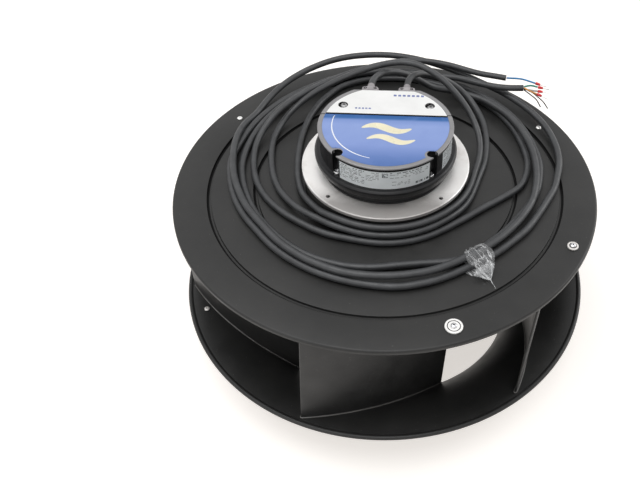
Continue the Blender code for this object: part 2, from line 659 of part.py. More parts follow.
def make_shaft(parent):
    top = flange_bottom() - SHAFT_HEADROOM
    end = ROTOR_BOTTOM - SHAFT_END
    boss_top = ROTOR_BOTTOM + ROTOR_FLOOR + ROTOR_BOSS_HEIGHT
    collar = SHAFT_RADIUS + SHAFT_COLLAR
    chamfer = SHAFT_CHAMFER
    collar_high = boss_top + GAP + SHAFT_COLLAR
    outline = [(0, top), (SHAFT_RADIUS - chamfer, top), (SHAFT_RADIUS, top - chamfer),
               (SHAFT_RADIUS, collar_high), (collar, collar_high),
               (collar, boss_top + GAP), (SHAFT_RADIUS, boss_top + GAP),
               (SHAFT_RADIUS, end), (0, end)]
    return turned_solid("shaft", outline, TUBE_STEPS, STEEL, parent)


def make_plate_screws(parent):
    """Screws that hold the back plate on the rotor's collar, put in from below."""
    seat = collar_top() - ROTOR_COLLAR_THICK - GAP
    head = PLATE_SCREW_HEAD_RADIUS
    outline = [(0, PLATE_SCREW_LENGTH), (PLATE_SCREW_RADIUS, PLATE_SCREW_LENGTH),
               (PLATE_SCREW_RADIUS, 0), (head, 0),
               (head, -PLATE_SCREW_HEAD_HEIGHT * 0.6),
               (head * 0.7, -PLATE_SCREW_HEAD_HEIGHT), (0, -PLATE_SCREW_HEAD_HEIGHT)]
    for number in range(PLATE_SCREW_COUNT):
        place = polar(PLATE_SCREW_PITCH_RADIUS, 2 * pi * (number + 0.5) / PLATE_SCREW_COUNT)
        turned_solid(f"plate_screw_{number + 1}", outline, SMALL_STEPS, STEEL, parent,
                     (place[0], place[1], seat))


def rivet_outline(head_radius, head_height, shank_length):
    """A domed head on z = 0 with its shank below."""
    return [(0, head_height), (head_radius * 0.6, head_height * 0.85),
            (head_radius, head_height * 0.3), (head_radius, 0),
            (RIVET_SHANK_RADIUS, 0), (RIVET_SHANK_RADIUS, -shank_length), (0, -shank_length)]


def drill_for_rivet(plate, name, place, level, thickness, parent):
    hole = cylinder_cutter(name, RIVET_SHANK_RADIUS + BORE_GAP, level - 3 * thickness,
                           level + thickness, place, SMALL_STEPS, parent)
    cut(plate, hole)


def make_rivets(parent, plate, shroud):
    shank = GAP + PLATE_THICK + RIVET_TAIL
    outline = rivet_outline(RIVET_HEAD_RADIUS, RIVET_HEAD_HEIGHT, shank)
    for number, (inset, blade, offset) in enumerate(RIVET_PLACES):
        place = beside_blade(PLATE_RADIUS - inset, blade, offset, BLADE_LEAN)
        drill_for_rivet(plate, f"rivet_hole_{number + 1}", place, PLATE_TOP, PLATE_THICK, parent)
        turned_solid(f"plate_rivet_{number + 1}", outline, SMALL_STEPS, ALUMINIUM, parent,
                     (place[0], place[1], PLATE_TOP + GAP))
    inset, blade, offset = SHROUD_RIVET_PLACE
    place = beside_blade(shroud_radius() - inset, blade, offset, 0.0)
    drill_for_rivet(shroud, "shroud_rivet_hole", place, RIM_HEIGHT, SHROUD_THICK, parent)
    turned_solid("shroud_rivet", outline, SMALL_STEPS, ALUMINIUM, parent,
                 (place[0], place[1], RIM_HEIGHT + GAP))


def make_balance_weights(parent, plate):
    """Washers riveted to the back plate, each held by a rivet with a wide head."""
    for number, (inset, blade, offset) in enumerate(WEIGHT_PLACES):
        outer = WEIGHT_RADII[number]
        place = beside_blade(PLATE_RADIUS - inset, blade, offset, BLADE_LEAN)
        low = PLATE_TOP + GAP
        top = low + WEIGHT_THICK
        chamfer = WEIGHT_CHAMFER
        washer = [(WEIGHT_BORE, low), (outer, low), (outer, top - chamfer),
                  (outer - chamfer, top), (WEIGHT_BORE, top)]
        turned_ring(f"balance_weight_{number + 1}", washer, WEIGHT_STEPS, ALUMINIUM, parent,
                    (place[0], place[1], 0))
        shank = WEIGHT_THICK + 2 * GAP + PLATE_THICK + RIVET_TAIL
        outline = rivet_outline(RIVET_HEAD_RADIUS, RIVET_HEAD_HEIGHT, shank)
        drill_for_rivet(plate, f"weight_hole_{number + 1}", place, PLATE_TOP, PLATE_THICK, parent)
        turned_solid(f"weight_rivet_{number + 1}", outline, SMALL_STEPS, STEEL, parent,
                     (place[0], place[1], top + GAP))


# Stator

def flange_bottom():
    return FLANGE_TOP - FLANGE_CORE_THICK


def tube_bore():
    return TUBE_RADIUS - TUBE_WALL


def make_stator_flange(parent):
    rim_low = FLANGE_TOP - FLANGE_RIM_THICK
    hole = TUBE_RADIUS - TUBE_SEAT_WIDTH
    seat = TUBE_RADIUS + GAP
    step = flange_bottom() + TUBE_SOCKET
    outline = [(hole, step), (seat, step), (seat, flange_bottom()),
               (FLANGE_CORE_RADIUS, flange_bottom()), (FLANGE_CORE_RADIUS, rim_low),
               (FLANGE_RADIUS, rim_low), (FLANGE_RADIUS, FLANGE_TOP - FLANGE_ROUND),
               (FLANGE_RADIUS - FLANGE_ROUND * 0.3, FLANGE_TOP - FLANGE_ROUND * 0.3),
               (FLANGE_RADIUS - FLANGE_ROUND, FLANGE_TOP), (hole, FLANGE_TOP)]
    flange = turned_ring("stator_flange", outline, MOTOR_STEPS, ALUMINIUM, parent)
    for number in range(FLANGE_HOLE_COUNT):
        azimuth = 2 * pi * (number + 0.5) / FLANGE_HOLE_COUNT
        place = polar(FLANGE_HOLE_PITCH_RADIUS, azimuth)
        hole_cutter = cylinder_cutter(f"flange_hole_{number + 1}", FLANGE_HOLE_RADIUS,
                                      rim_low - CUT_OVERRUN, FLANGE_TOP + CUT_OVERRUN, place,
                                      16, parent)
        cut(flange, hole_cutter)
    return flange


def make_bearing_tube(parent):
    """Tube that carries the core outside and the bearings inside, let into the flange."""
    top = flange_bottom() + TUBE_SOCKET - GAP
    bore = tube_bore()
    shoulder = bore - BEARING_SHOULDER
    low_seat = TUBE_BOTTOM + BEARING_HEIGHT + 2 * GAP
    high_seat = top - BEARING_HEIGHT - 2 * GAP
    outline = [(TUBE_RADIUS, top), (TUBE_RADIUS, TUBE_BOTTOM), (bore, TUBE_BOTTOM),
               (bore, low_seat), (shoulder, low_seat), (shoulder, high_seat),
               (bore, high_seat), (bore, top)]
    return turned_ring("bearing_tube", outline, TUBE_STEPS, ALUMINIUM, parent)


def make_bearing(name, low, parent):
    outer = tube_bore() - GAP
    inner = SHAFT_RADIUS + BORE_GAP
    high = low + BEARING_HEIGHT
    middle = (outer + inner) / 2
    half = (outer - inner) / 6
    outline = [(inner, low), (middle - half, low), (middle - half, low + BEARING_GROOVE),
               (middle + half, low + BEARING_GROOVE), (middle + half, low), (outer, low),
               (outer, high), (middle + half, high), (middle + half, high - BEARING_GROOVE),
               (middle - half, high - BEARING_GROOVE), (middle - half, high), (inner, high)]
    return turned_ring(name, outline, TUBE_STEPS, STEEL, parent)


def core_outline():
    """Plan outline of one lamination: twelve teeth with wide tips on a yoke ring."""
    yoke = TUBE_RADIUS + GAP + CORE_YOKE
    half_stem = TOOTH_STEM_WIDTH / 2
    pitch = 2 * pi / TOOTH_COUNT
    tip_low = CORE_OUTER_RADIUS - TOOTH_TIP_HEIGHT
    points = []
    for number in range(TOOTH_COUNT):
        middle = pitch * number
        tip = (pitch - TOOTH_GAP_ANGLE) / 2
        root_turn = asin(half_stem / yoke)
        neck_turn = asin(half_stem / tip_low)
        points.append(polar(yoke, middle - root_turn))
        points.append(polar(tip_low, middle - neck_turn))
        points.append(polar(tip_low + TOOTH_TIP_SLOPE, middle - tip))
        for share in (-1.0, 0.0, 1.0):
            points.append(polar(CORE_OUTER_RADIUS, middle + tip * share))
        points.append(polar(tip_low + TOOTH_TIP_SLOPE, middle + tip))
        points.append(polar(tip_low, middle + neck_turn))
        points.append(polar(yoke, middle + root_turn))
    return points


def add_outline(curve, points):
    spline = curve.splines.new('POLY')
    spline.points.add(len(points) - 1)
    for target, point in zip(spline.points, points):
        target.co = (point[0], point[1], 0, 1)
    spline.use_cyclic_u = True


def make_stator_core(parent):
    curve = bpy.data.curves.new("stator_core", 'CURVE')
    curve.dimensions = '2D'
    curve.fill_mode = 'BOTH'
    curve.extrude = CORE_HEIGHT / 2
    add_outline(curve, core_outline())
    bore = (TUBE_RADIUS + GAP) / cos(pi / TUBE_STEPS)
    add_outline(curve, [polar(bore, 2 * pi * i / TUBE_STEPS) for i in range(TUBE_STEPS)])
    return add_part("stator_core", curve, LAMINATION, parent,
                    (0, 0, CORE_BOTTOM + CORE_HEIGHT / 2))


def make_windings(parent):
    """The winding heads above and below the core."""
    inner = WINDING_INNER_RADIUS
    outer = WINDING_OUTER_RADIUS
    for name, low in (("winding_lower", CORE_BOTTOM - GAP - WINDING_HEIGHT),
                      ("winding_upper", CORE_BOTTOM + CORE_HEIGHT + GAP)):
        high = low + WINDING_HEIGHT
        trim = WINDING_HEIGHT * 0.3
        outline = [(inner, low + trim), (inner + trim, low), (outer - trim, low),
                   (outer, low + trim), (outer, high - trim), (outer - trim, high),
                   (inner + trim, high), (inner, high - trim)]
        turned_ring(name, outline, WINDING_STEPS, COPPER, parent)


# Electronics

def housing_low():
    return FLANGE_TOP + GAP


def housing_floor_top():
    return housing_low() + NECK_HEIGHT + HOUSING_FLOOR


def make_housing(parent):
    """Black cup on the flange: neck, wide collar, wall with two open screw pockets."""
    low = housing_low()
    collar_low = low + NECK_HEIGHT
    collar_high = collar_low + COLLAR_HEIGHT
    slope = COLLAR_SLOPE
    outline = [(0, housing_floor_top()), (HOUSING_HOLLOW_RADIUS, housing_floor_top()),
               (HOUSING_HOLLOW_RADIUS, WALL_TOP), (WALL_RADIUS, WALL_TOP),
               (WALL_RADIUS, collar_high + slope), (COLLAR_RADIUS - slope, collar_high + slope),
               (COLLAR_RADIUS, collar_high), (COLLAR_RADIUS, collar_low),
               (NECK_RADIUS, collar_low), (NECK_RADIUS, low), (0, low)]
    housing = turned_solid("electronics_housing", outline, MOTOR_STEPS, BLACK_PLASTIC, parent)
    reach = COLLAR_RADIUS + CUT_OVERRUN
    above = WALL_TOP + CUT_OVERRUN
    cut(housing, box_cutter("housing_flat", (-reach, HOUSING_FLAT, collar_high + slope),
                            (reach, reach, above), parent))
    for number, azimuth in enumerate(POCKET_AZIMUTHS):
        place = polar(POCKET_PITCH_RADIUS, azimuth)
        cut(housing, cylinder_cutter(f"pocket_{number + 1}", POCKET_RADIUS,
                                     WALL_TOP - POCKET_DEPTH, above, place, 16, parent))
    for side in (-1, 1):
        place = (side * COVER_SCREW_X, COVER_SCREW_Y)
        depth = COVER_SCREW_LENGTH + COVER_SCREW_RUNOUT
        cut(housing, cylinder_cutter(f"screw_hole_{side + 2}", COVER_SCREW_RADIUS + BORE_GAP,
                                     WALL_TOP - depth, above, place, SMALL_STEPS, parent))
    return housing


def make_circuit_board(parent):
    """Board on a short post, with two capacitors."""
    low = housing_floor_top() + GAP
    post_top = low + BOARD_POST_HEIGHT
    high = post_top + BOARD_THICK
    outline = [(0, high), (BOARD_RADIUS, high), (BOARD_RADIUS, post_top),
               (BOARD_POST_RADIUS, post_top), (BOARD_POST_RADIUS, low), (0, low)]
    turned_solid("circuit_board", outline, BOARD_STEPS, BOARD_GREEN, parent)
    for number, place in enumerate(CAPACITOR_PLACES):
        base = high + GAP
        top = min(base + CAPACITOR_HEIGHT, WALL_TOP - CAPACITOR_HEADROOM)
        radius = CAPACITOR_RADIUS
        chamfer = CAPACITOR_CHAMFER
        can = [(0, top), (radius - chamfer, top), (radius, top - chamfer), (radius, base),
               (0, base)]
        turned_solid(f"capacitor_{number + 1}", can, CAPACITOR_STEPS, BLACK_PLASTIC, parent,
                     (place[0], place[1], 0))


def cover_outline():
    low = WALL_TOP + GAP
    high = low + COVER_THICK
    edge = COVER_ROUND
    return [(0, high), (COVER_RADIUS - edge, high), (COVER_RADIUS - edge * 0.3, high - edge * 0.3),
            (COVER_RADIUS, high - edge), (COVER_RADIUS, low), (0, low)]


def make_front_cover(parent):
    """Front part of the round cover, with two notches above the screw pockets."""
    cover = turned_solid("front_cover", cover_outline(), MOTOR_STEPS, COVER_GREY, parent)
    reach = COVER_RADIUS + CUT_OVERRUN
    low = WALL_TOP - CUT_OVERRUN
    high = WALL_TOP + COVER_THICK + CUT_OVERRUN
    cut(cover, box_cutter("front_cover_seam", (-reach, COVER_SEAM - COVER_SEAM_WIDTH / 2, low),
                          (reach, reach, high), parent))
    for number, azimuth in enumerate(POCKET_AZIMUTHS):
        place = polar(POCKET_PITCH_RADIUS, azimuth)
        cut(cover, cylinder_cutter(f"cover_notch_{number + 1}", POCKET_RADIUS, low, high, place,
                                   16, parent))
    return cover


def make_terminal_cover(parent):
    """Rear part of the cover: straight seam, straight back edge, two sunk screws."""
    cover = turned_solid("terminal_cover", cover_outline(), MOTOR_STEPS, COVER_GREY, parent)
    reach = COVER_RADIUS + CUT_OVERRUN
    low = WALL_TOP - CUT_OVERRUN
    high = WALL_TOP + COVER_THICK + CUT_OVERRUN
    cut(cover, box_cutter("terminal_cover_seam", (-reach, -reach, low),
                          (reach, COVER_SEAM + COVER_SEAM_WIDTH / 2, high), parent))
    cut(cover, box_cutter("terminal_cover_flat", (-reach, HOUSING_FLAT, low),
                          (reach, reach, high), parent))
    sink = WALL_TOP + GAP + COVER_THICK - COVER_SCREW_SINK_DEPTH
    for side in (-1, 1):
        place = (side * COVER_SCREW_X, COVER_SCREW_Y)
        cut(cover, cylinder_cutter(f"screw_sink_{side + 2}", COVER_SCREW_SINK_RADIUS, sink, high,
                                   place, 20, parent))
        cut(cover, cylinder_cutter(f"screw_bore_{side + 2}", COVER_SCREW_RADIUS + BORE_GAP, low,
                                   high, place, SMALL_STEPS, parent))
        make_cover_screw(f"terminal_screw_{(side + 3) // 2}", place, sink + GAP, parent)
    return cover


def make_cover_screw(name, place, seat, parent):
    head = COVER_SCREW_HEAD_RADIUS
    height = COVER_SCREW_HEAD_HEIGHT
    outline = [(0, height), (head * 0.7, height), (head, height * 0.5), (head, 0),
               (COVER_SCREW_RADIUS, 0), (COVER_SCREW_RADIUS, -COVER_SCREW_LENGTH),
               (0, -COVER_SCREW_LENGTH)]
    turned_solid(name, outline, SMALL_STEPS, STEEL, parent, (place[0], place[1], seat))


def make_glands(parent):
    """Tapered strain reliefs on the flat back wall, one for each cord."""
    foot = GLAND_FOOT_RADIUS
    neck = GLAND_NECK_RADIUS
    flat = GLAND_FOOT_LENGTH
    length = GLAND_LENGTH
    outline = [(0, length), (neck - 0.0006, length), (neck, length - 0.001),
               (neck * 1.04, length * 0.62), (neck * 1.12, length * 0.42),
               (foot * 0.93, flat + 0.003), (foot, flat), (foot, 0), (0, 0)]
    for name, side in (("power_gland", -1), ("control_gland", 1)):
        place = (side * GLAND_SPACING / 2, HOUSING_FLAT + GAP, GLAND_HEIGHT)
        turned_solid(name, outline, GLAND_STEPS, GREY_PLASTIC, parent, place, (-pi / 2, 0, 0))


# Cords

def smooth_points(route, spacing):
    """Points at an even spacing on a smooth curve through the route's own points."""
    route = [Vector(point) for point in route]
    ends = [2 * route[0] - route[1]] + route + [2 * route[-1] - route[-2]]
    fine = []
    for i in range(1, len(ends) - 2):
        before, start, end, after = ends[i - 1:i + 3]
        for k in range(12):
            t = k / 12
            fine.append(0.5 * (2 * start + (end - before) * t
                               + (2 * before - 5 * start + 4 * end - after) * t * t
                               + (3 * start - before - 3 * end + after) * t ** 3))
    fine.append(route[-1])
    length = sum((b - a).length for a, b in zip(fine, fine[1:]))
    count = max(3, round(length / spacing))
    points = [fine[0]]
    travelled = 0.0
    for a, b in zip(fine, fine[1:]):
        travelled += (b - a).length
        if travelled >= length * len(points) / count and len(points) < count:
            points.append(b)
    points.append(fine[-1])
    return points


def make_tube(name, route, radius, look, sides=2, spacing=CORD_POINT_SPACING):
    curve = bpy.data.curves.new(name, 'CURVE')
    curve.dimensions = '3D'
    curve.bevel_depth = radius
    curve.bevel_resolution = sides
    curve.use_fill_caps = True
    points = smooth_points(route, spacing * 2 * radius)
    spline = curve.splines.new('POLY')
    spline.points.add(len(points) - 1)
    for target, point in zip(spline.points, points):
        target.co = (point.x, point.y, point.z, 1)
    return add_part(name, curve, look)


def coil_outline(low, grow=0.0):
    """Section of the coil's ring, widened on every side by grow."""
    inner = COIL_INNER_RADIUS - grow
    outer = COIL_OUTER_RADIUS + grow
    high = COIL_HIGH + grow
    edge = COIL_CHAMFER
    return [(inner, low + edge), (inner + edge, low), (outer - edge, low), (outer, low + edge),
            (outer, high - edge), (outer - edge, high), (inner + edge, high),
            (inner, high - edge)]


def make_coil(name, outline):
    """The outer shape of the cord's turns: a ring a little longer than wide."""
    coil = turned_ring(name, outline, COIL_STEPS, CORD_BLACK, None, (0, COIL_CENTRE_Y, 0))
    coil.scale.y = COIL_STRETCH
    return coil


def make_tie():
    """Plastic film over the bundle: a saddle that fits the coil with a small gap."""
    middle = (COIL_INNER_RADIUS + COIL_OUTER_RADIUS) / 2
    place = Vector((middle * cos(TIE_AZIMUTH),
                    COIL_CENTRE_Y + COIL_STRETCH * middle * sin(TIE_AZIMUTH), 0))
    low = PLATE_TOP + TIE_FOOT_CLEARANCE
    high = COIL_HIGH + GAP + TIE_WALL
    width = COIL_OUTER_RADIUS - COIL_INNER_RADIUS + 4 * TIE_WALL
    mesh = bpy.data.meshes.new("coil_tie")
    shape = bmesh.new()
    bmesh.ops.create_cube(shape, size=1.0)
    bmesh.ops.scale(shape, vec=(width, TIE_LENGTH, high - low), verts=shape.verts)
    shape.to_mesh(mesh)
    shape.free()
    tie = add_part("coil_tie", mesh, CLEAR_FILM, None, (place.x, place.y, (low + high) / 2),
                   (0, 0, TIE_AZIMUTH))
    edges = tie.modifiers.new("soft_edges", 'BEVEL')
    edges.width = TIE_ROUND
    edges.segments = 2
    bundle = make_coil("bundle", coil_outline(low - CUT_OVERRUN, GAP))
    return cut(tie, as_cutter(bundle))


def make_cords():
    make_tube("power_cord_lead", POWER_LEAD_ROUTE, POWER_CORD_RADIUS, CORD_BLACK)
    make_tube("power_cord_outer_turn", POWER_OUTER_ROUTE, POWER_CORD_RADIUS, CORD_BLACK)
    make_tube("power_cord_tail", POWER_TAIL_ROUTE, POWER_CORD_RADIUS, CORD_BLACK)
    make_tube("control_cord_lead", CONTROL_LEAD_ROUTE, CONTROL_CORD_RADIUS, CORD_BLACK)
    make_tube("control_cord_tail", CONTROL_TAIL_ROUTE, CONTROL_CORD_RADIUS, CORD_BLACK)
    make_coil("power_cord_coil", coil_outline(COIL_LOW))
    make_tie()


def make_ferrule(name, near_end, direction):
    """Red crimp sleeve with its bare pin, along a wire's last direction."""
    radius = FERRULE_RADIUS
    outline = [(0, FERRULE_LENGTH + FERRULE_PIN_LENGTH),
               (FERRULE_PIN_RADIUS, FERRULE_LENGTH + FERRULE_PIN_LENGTH),
               (FERRULE_PIN_RADIUS, FERRULE_LENGTH), (radius * 0.8, FERRULE_LENGTH),
               (radius, FERRULE_LENGTH * 0.6), (radius, 0), (0, 0)]
    turn = Vector((0, 0, 1)).rotation_difference(direction).to_euler()
    place = Vector(near_end) + direction * GAP
    turned_solid(name, outline, SMALL_STEPS, FERRULE_RED, None, place, turn)


def make_wires():
    for name, start, middle, end in WIRE_ROUTES:
        points = (start, middle, end)
        make_tube(f"wire_{name}", points, WIRE_RADIUS, WIRE_COLOURS[name], 2, 2.5)
        direction = (Vector(end) - Vector(middle)).normalized()
        make_ferrule(f"ferrule_{name}", end, direction)
    for name, *points in THIN_WIRE_ROUTES:
        make_tube(f"thin_wire_{name}", points, THIN_WIRE_RADIUS, CORD_BLACK, 2, 3.5)


def build():
    impeller_axis = empty("impeller_axis")
    stator_frame = empty("stator_frame", STATOR_TURN)

    plate = make_back_plate(impeller_axis)
    shroud = make_shroud(impeller_axis)
    make_blades(impeller_axis)
    make_rotor_housing(impeller_axis)
    make_magnet_ring(impeller_axis)
    make_shaft(impeller_axis)
    make_plate_screws(impeller_axis)
    make_rivets(impeller_axis, plate, shroud)
    make_balance_weights(impeller_axis, plate)

    make_stator_flange(stator_frame)
    make_bearing_tube(stator_frame)
    make_bearing("bearing_lower", TUBE_BOTTOM + GAP, stator_frame)
    make_bearing("bearing_upper", flange_bottom() + TUBE_SOCKET - 2 * GAP - BEARING_HEIGHT,
                 stator_frame)
    make_stator_core(stator_frame)
    make_windings(stator_frame)
    make_housing(stator_frame)
    make_circuit_board(stator_frame)
    make_front_cover(stator_frame)
    make_terminal_cover(stator_frame)
    make_glands(stator_frame)
    make_cords()
    make_wires()


build()
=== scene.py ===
"""Looks of a backward-curved centrifugal fan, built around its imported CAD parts.

Metres, +Z up. The fan axis is the Z axis and the floor is z = 0.
"""

import random
from math import asin, atan2, ceil, cos, pi, radians, sin, sqrt, tan

import bmesh
import bpy
from mathutils import Matrix, Vector, noise


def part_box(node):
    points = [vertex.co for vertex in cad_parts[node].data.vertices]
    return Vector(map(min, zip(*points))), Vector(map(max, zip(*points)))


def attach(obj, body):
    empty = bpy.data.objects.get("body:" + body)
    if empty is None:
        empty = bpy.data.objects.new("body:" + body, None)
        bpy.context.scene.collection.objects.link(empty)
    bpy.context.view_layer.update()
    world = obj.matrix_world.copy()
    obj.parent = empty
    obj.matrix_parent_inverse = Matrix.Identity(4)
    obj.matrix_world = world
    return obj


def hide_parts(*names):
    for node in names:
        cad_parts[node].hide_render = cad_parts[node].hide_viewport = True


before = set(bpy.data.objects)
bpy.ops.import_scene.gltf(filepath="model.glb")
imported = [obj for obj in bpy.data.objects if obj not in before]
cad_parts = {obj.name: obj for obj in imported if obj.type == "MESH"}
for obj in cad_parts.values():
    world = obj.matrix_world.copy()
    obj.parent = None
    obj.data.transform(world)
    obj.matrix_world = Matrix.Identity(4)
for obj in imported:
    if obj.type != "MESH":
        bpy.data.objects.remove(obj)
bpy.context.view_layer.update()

# Sizes of the CAD parts that the pieces here are fitted to
PLATE_TOP = 0.200
PLATE_RADIUS = 0.225
PLATE_THICK = 0.002
PLATE_EDGE_HEIGHT = 0.0049
PLATE_EDGE_BEND = 0.0035
PLATE_HOLE_RADIUS = 0.0858
GROOVE_RADII = (0.1389, 0.1874)
GROOVE_WIDTH = 0.0045
GROOVE_DEPTH = 0.003
GROOVE_FLARE = 0.0016

SHROUD_RADIUS = 0.2316
SHROUD_THICK = 0.002
RIM_HEIGHT = 0.063
RIM_BEAD_RADIUS = 0.0027
INLET_RADIUS = 0.146
INLET_FLAT = 0.003
SHROUD_FLAT = 0.0436
SHROUD_THROAT_PULL = 0.037

BLADE_COUNT = 6
BLADE_THICK = 0.0025
BLADE_TIP_RADIUS = 0.223
BLADE_ROOT_RADIUS = 0.1545
BLADE_LOW = 0.007
BLADE_WRAP = radians(46.5)
BLADE_ARC_RADIUS = 0.2417
BLADE_LEAN = radians(3.3)
FIRST_TIP_AZIMUTH = radians(-112.4)

ROTOR_RADIUS = 0.0855
ROTOR_WALL = 0.009
ROTOR_BOTTOM = 0.127
ROTOR_FLOOR = 0.006
ROTOR_ROUND = 0.008
ROTOR_TOP = 0.2237
ROTOR_COLLAR_RADIUS = 0.098
ROTOR_COLLAR_TOP = 0.1977
ROTOR_COLLAR_THICK = 0.005
ROTOR_BOSS_RADIUS = 0.018
ROTOR_BOSS_HEIGHT = 0.010
SHAFT_BORE = 0.0078

STATOR_TURN = radians(-1.4)
FLANGE_RADIUS = 0.0878
FLANGE_TOP = 0.2287
FLANGE_RIM_THICK = 0.0042
FLANGE_CORE_RADIUS = 0.074
FLANGE_BOTTOM = 0.2167
FLANGE_HOLE_PITCH_RADIUS = 0.080
FLANGE_HOLE_RADIUS = 0.0022
FLANGE_SOCKET_RADIUS = 0.0223
FLANGE_BORE_RADIUS = 0.018
FLANGE_SOCKET_DEPTH = 0.006

HOUSING_LOW = 0.2290
HOUSING_FLAT = 0.059
NECK_RADIUS = 0.066
COLLAR_LOW = 0.2405
COLLAR_HIGH = 0.2477
COLLAR_RADIUS = 0.0734
COLLAR_SLOPE = 0.0018
WALL_RADIUS = 0.0677
WALL_TOP = 0.2720
HOLLOW_RADIUS = 0.055
HOLLOW_FLOOR = 0.2445
POCKET_RADIUS = 0.0053
POCKET_PITCH_RADIUS = 0.0645
POCKET_AZIMUTHS = (radians(-135.6), radians(-44.4))
POCKET_DEPTH = 0.023

COVER_RADIUS = 0.069
COVER_LOW = 0.2723
COVER_TOP = 0.2763
COVER_RIM = 0.0019          # height of the bright rim above the lid's foot
COVER_SEAM = 0.0160
COVER_SEAM_WIDTH = 0.0010
SCREW_X = 0.0450
SCREW_Y = 0.0325
SCREW_SINK_RADIUS = 0.0050
SCREW_SINK_DEPTH = 0.0026

GLAND_X = 0.0195
GLAND_HEIGHT = 0.2645
GLAND_LENGTH = 0.016

POWER_CORD_RADIUS = 0.00375
CONTROL_CORD_RADIUS = 0.0035
COIL_CENTRE_Y = 0.022
COIL_STRETCH = 1.045
TIE_AZIMUTH = radians(-57.0)


# Camera

def place_camera():
    elevation = radians(45.243)
    roll = radians(0.94)
    side = Vector((1, 0, 0))
    back = Vector((0, -cos(elevation), sin(elevation)))
    up = Vector((0, sin(elevation), cos(elevation)))
    x_axis = side * cos(roll) + up * sin(roll)
    y_axis = up * cos(roll) - side * sin(roll)
    turn = Matrix((x_axis, y_axis, back)).transposed()
    data = bpy.data.cameras.new("camera")
    data.sensor_width = 36.0
    data.lens = 44.64
    data.shift_x = -0.1194
    data.shift_y = -0.0205
    camera = bpy.data.objects.new("camera", data)
    camera.matrix_world = Matrix.Translation((0.0124, -0.6386, 0.7696)) @ turn.to_4x4()
    bpy.context.scene.collection.objects.link(camera)
    bpy.context.scene.camera = camera


place_camera()


# Materials

class Nodes:
    """Shader nodes of one tree, made and linked by short calls."""

    def __init__(self, tree):
        self.tree = tree

    def feed(self, socket, value):
        """Links a socket to another node's output, or sets its own value."""
        if isinstance(value, bpy.types.NodeSocket):
            self.tree.links.new(value, socket)
        else:
            socket.default_value = (*value, 1) if socket.type == 'RGBA' else value

    def node(self, kind, **inputs):
        """A new node. In the names of its inputs an underscore stands for a space."""
        node = self.tree.nodes.new(kind)
        for name, value in inputs.items():
            self.feed(node.inputs[name.replace("_", " ")], value)
        return node

    def math(self, operation, *values):
        node = self.node("ShaderNodeMath")
        node.operation = operation
        for socket, value in zip(node.inputs, values):
            self.feed(socket, value)
        return node.outputs[0]

    def spread(self, value, low, high, to_low, to_high):
        return self.node("ShaderNodeMapRange", Value=value, From_Min=low, From_Max=high,
                         To_Min=to_low, To_Max=to_high).outputs["Result"]

    def ramp(self, value, stops):
        node = self.node("ShaderNodeValToRGB", Fac=value)
        elements = node.color_ramp.elements
        for extra in stops[2:]:
            elements.new(0.5)
        for element, (place, colour) in zip(elements, stops):
            element.position = place
            element.color = (*colour, 1)
        return node.outputs["Color"]

    def mix(self, factor, first, second):
        node = self.node("ShaderNodeMix", Factor=factor)
        node.data_type = 'RGBA'
        # the colour sockets share their names with the number sockets, so they are set by place
        self.feed(node.inputs[6], first)
        self.feed(node.inputs[7], second)
        return node.outputs[2]

    def rays_seen(self):
        """1 for the rays that show the stage as it is: camera, glossy and transmission rays."""
        rays = self.node("ShaderNodeLightPath").outputs
        seen = self.math('MAXIMUM', rays["Is Camera Ray"], rays["Is Glossy Ray"])
        return self.math('MAXIMUM', seen, rays["Is Transmission Ray"])


class Look(Nodes):
    """A Principled material whose colour, roughness and bump come from nodes."""

    def __init__(self, name, colour, roughness, metallic=0.0, specular=0.5, coat=0.0):
        self.mat = bpy.data.materials.new(name)
        self.mat.use_nodes = True
        super().__init__(self.mat.node_tree)
        self.shader = self.tree.nodes["Principled BSDF"]
        for socket, value in (("Base Color", colour), ("Roughness", roughness),
                              ("Metallic", metallic), ("Specular IOR Level", specular),
                              ("Coat Weight", coat)):
            self.set(socket, value)
        self.coords = self.node("ShaderNodeTexCoord").outputs["Object"]

    def set(self, name, value):
        self.feed(self.shader.inputs[name], value)

    def noise(self, scale, detail=3.0, rough=0.6, distortion=0.0, coords=None):
        return self.node("ShaderNodeTexNoise", Scale=scale, Detail=detail, Roughness=rough,
                         Distortion=distortion, Vector=coords or self.coords).outputs["Fac"]

    def stretched(self, scale):
        """Object coordinates multiplied along each axis."""
        return self.node("ShaderNodeMapping", Vector=self.coords, Scale=scale).outputs["Vector"]

    def axis(self, name):
        return self.node("ShaderNodeSeparateXYZ", Vector=self.coords).outputs[name]

    def paint(self, colour):
        self.set("Base Color", colour)

    def clouds(self, scale, dark, light, low=0.3, high=0.7):
        """Paint that drifts between two colours."""
        self.paint(self.ramp(self.noise(scale), [(low, dark), (high, light)]))

    def sheen(self, noise, low, high):
        self.set("Roughness", self.spread(noise, 0.3, 0.7, low, high))

    def bump(self, height, distance):
        node = self.node("ShaderNodeBump", Strength=1.0, Distance=distance, Height=height)
        self.set("Normal", node.outputs["Normal"])

    def grain(self, scale, depth):
        self.bump(self.noise(scale, 2, 0.5), depth)


def black_paint():
    """Satin powder coat: soft clouds, fine grain, a few dust specks."""
    look = Look("black_paint", (0.020, 0.020, 0.0195), 0.40, 0.0, 0.34)
    base = look.ramp(look.noise(14, 4), [(0.35, (0.016, 0.016, 0.0157)),
                                         (0.65, (0.024, 0.0237, 0.023))])
    specks = look.spread(look.noise(420, 2, 0.5), 0.70, 0.78, 0.0, 0.35)
    look.paint(look.mix(specks, base, (0.16, 0.16, 0.155)))
    look.sheen(look.noise(45), 0.36, 0.50)
    look.grain(620, 0.00006)
    return look.mat


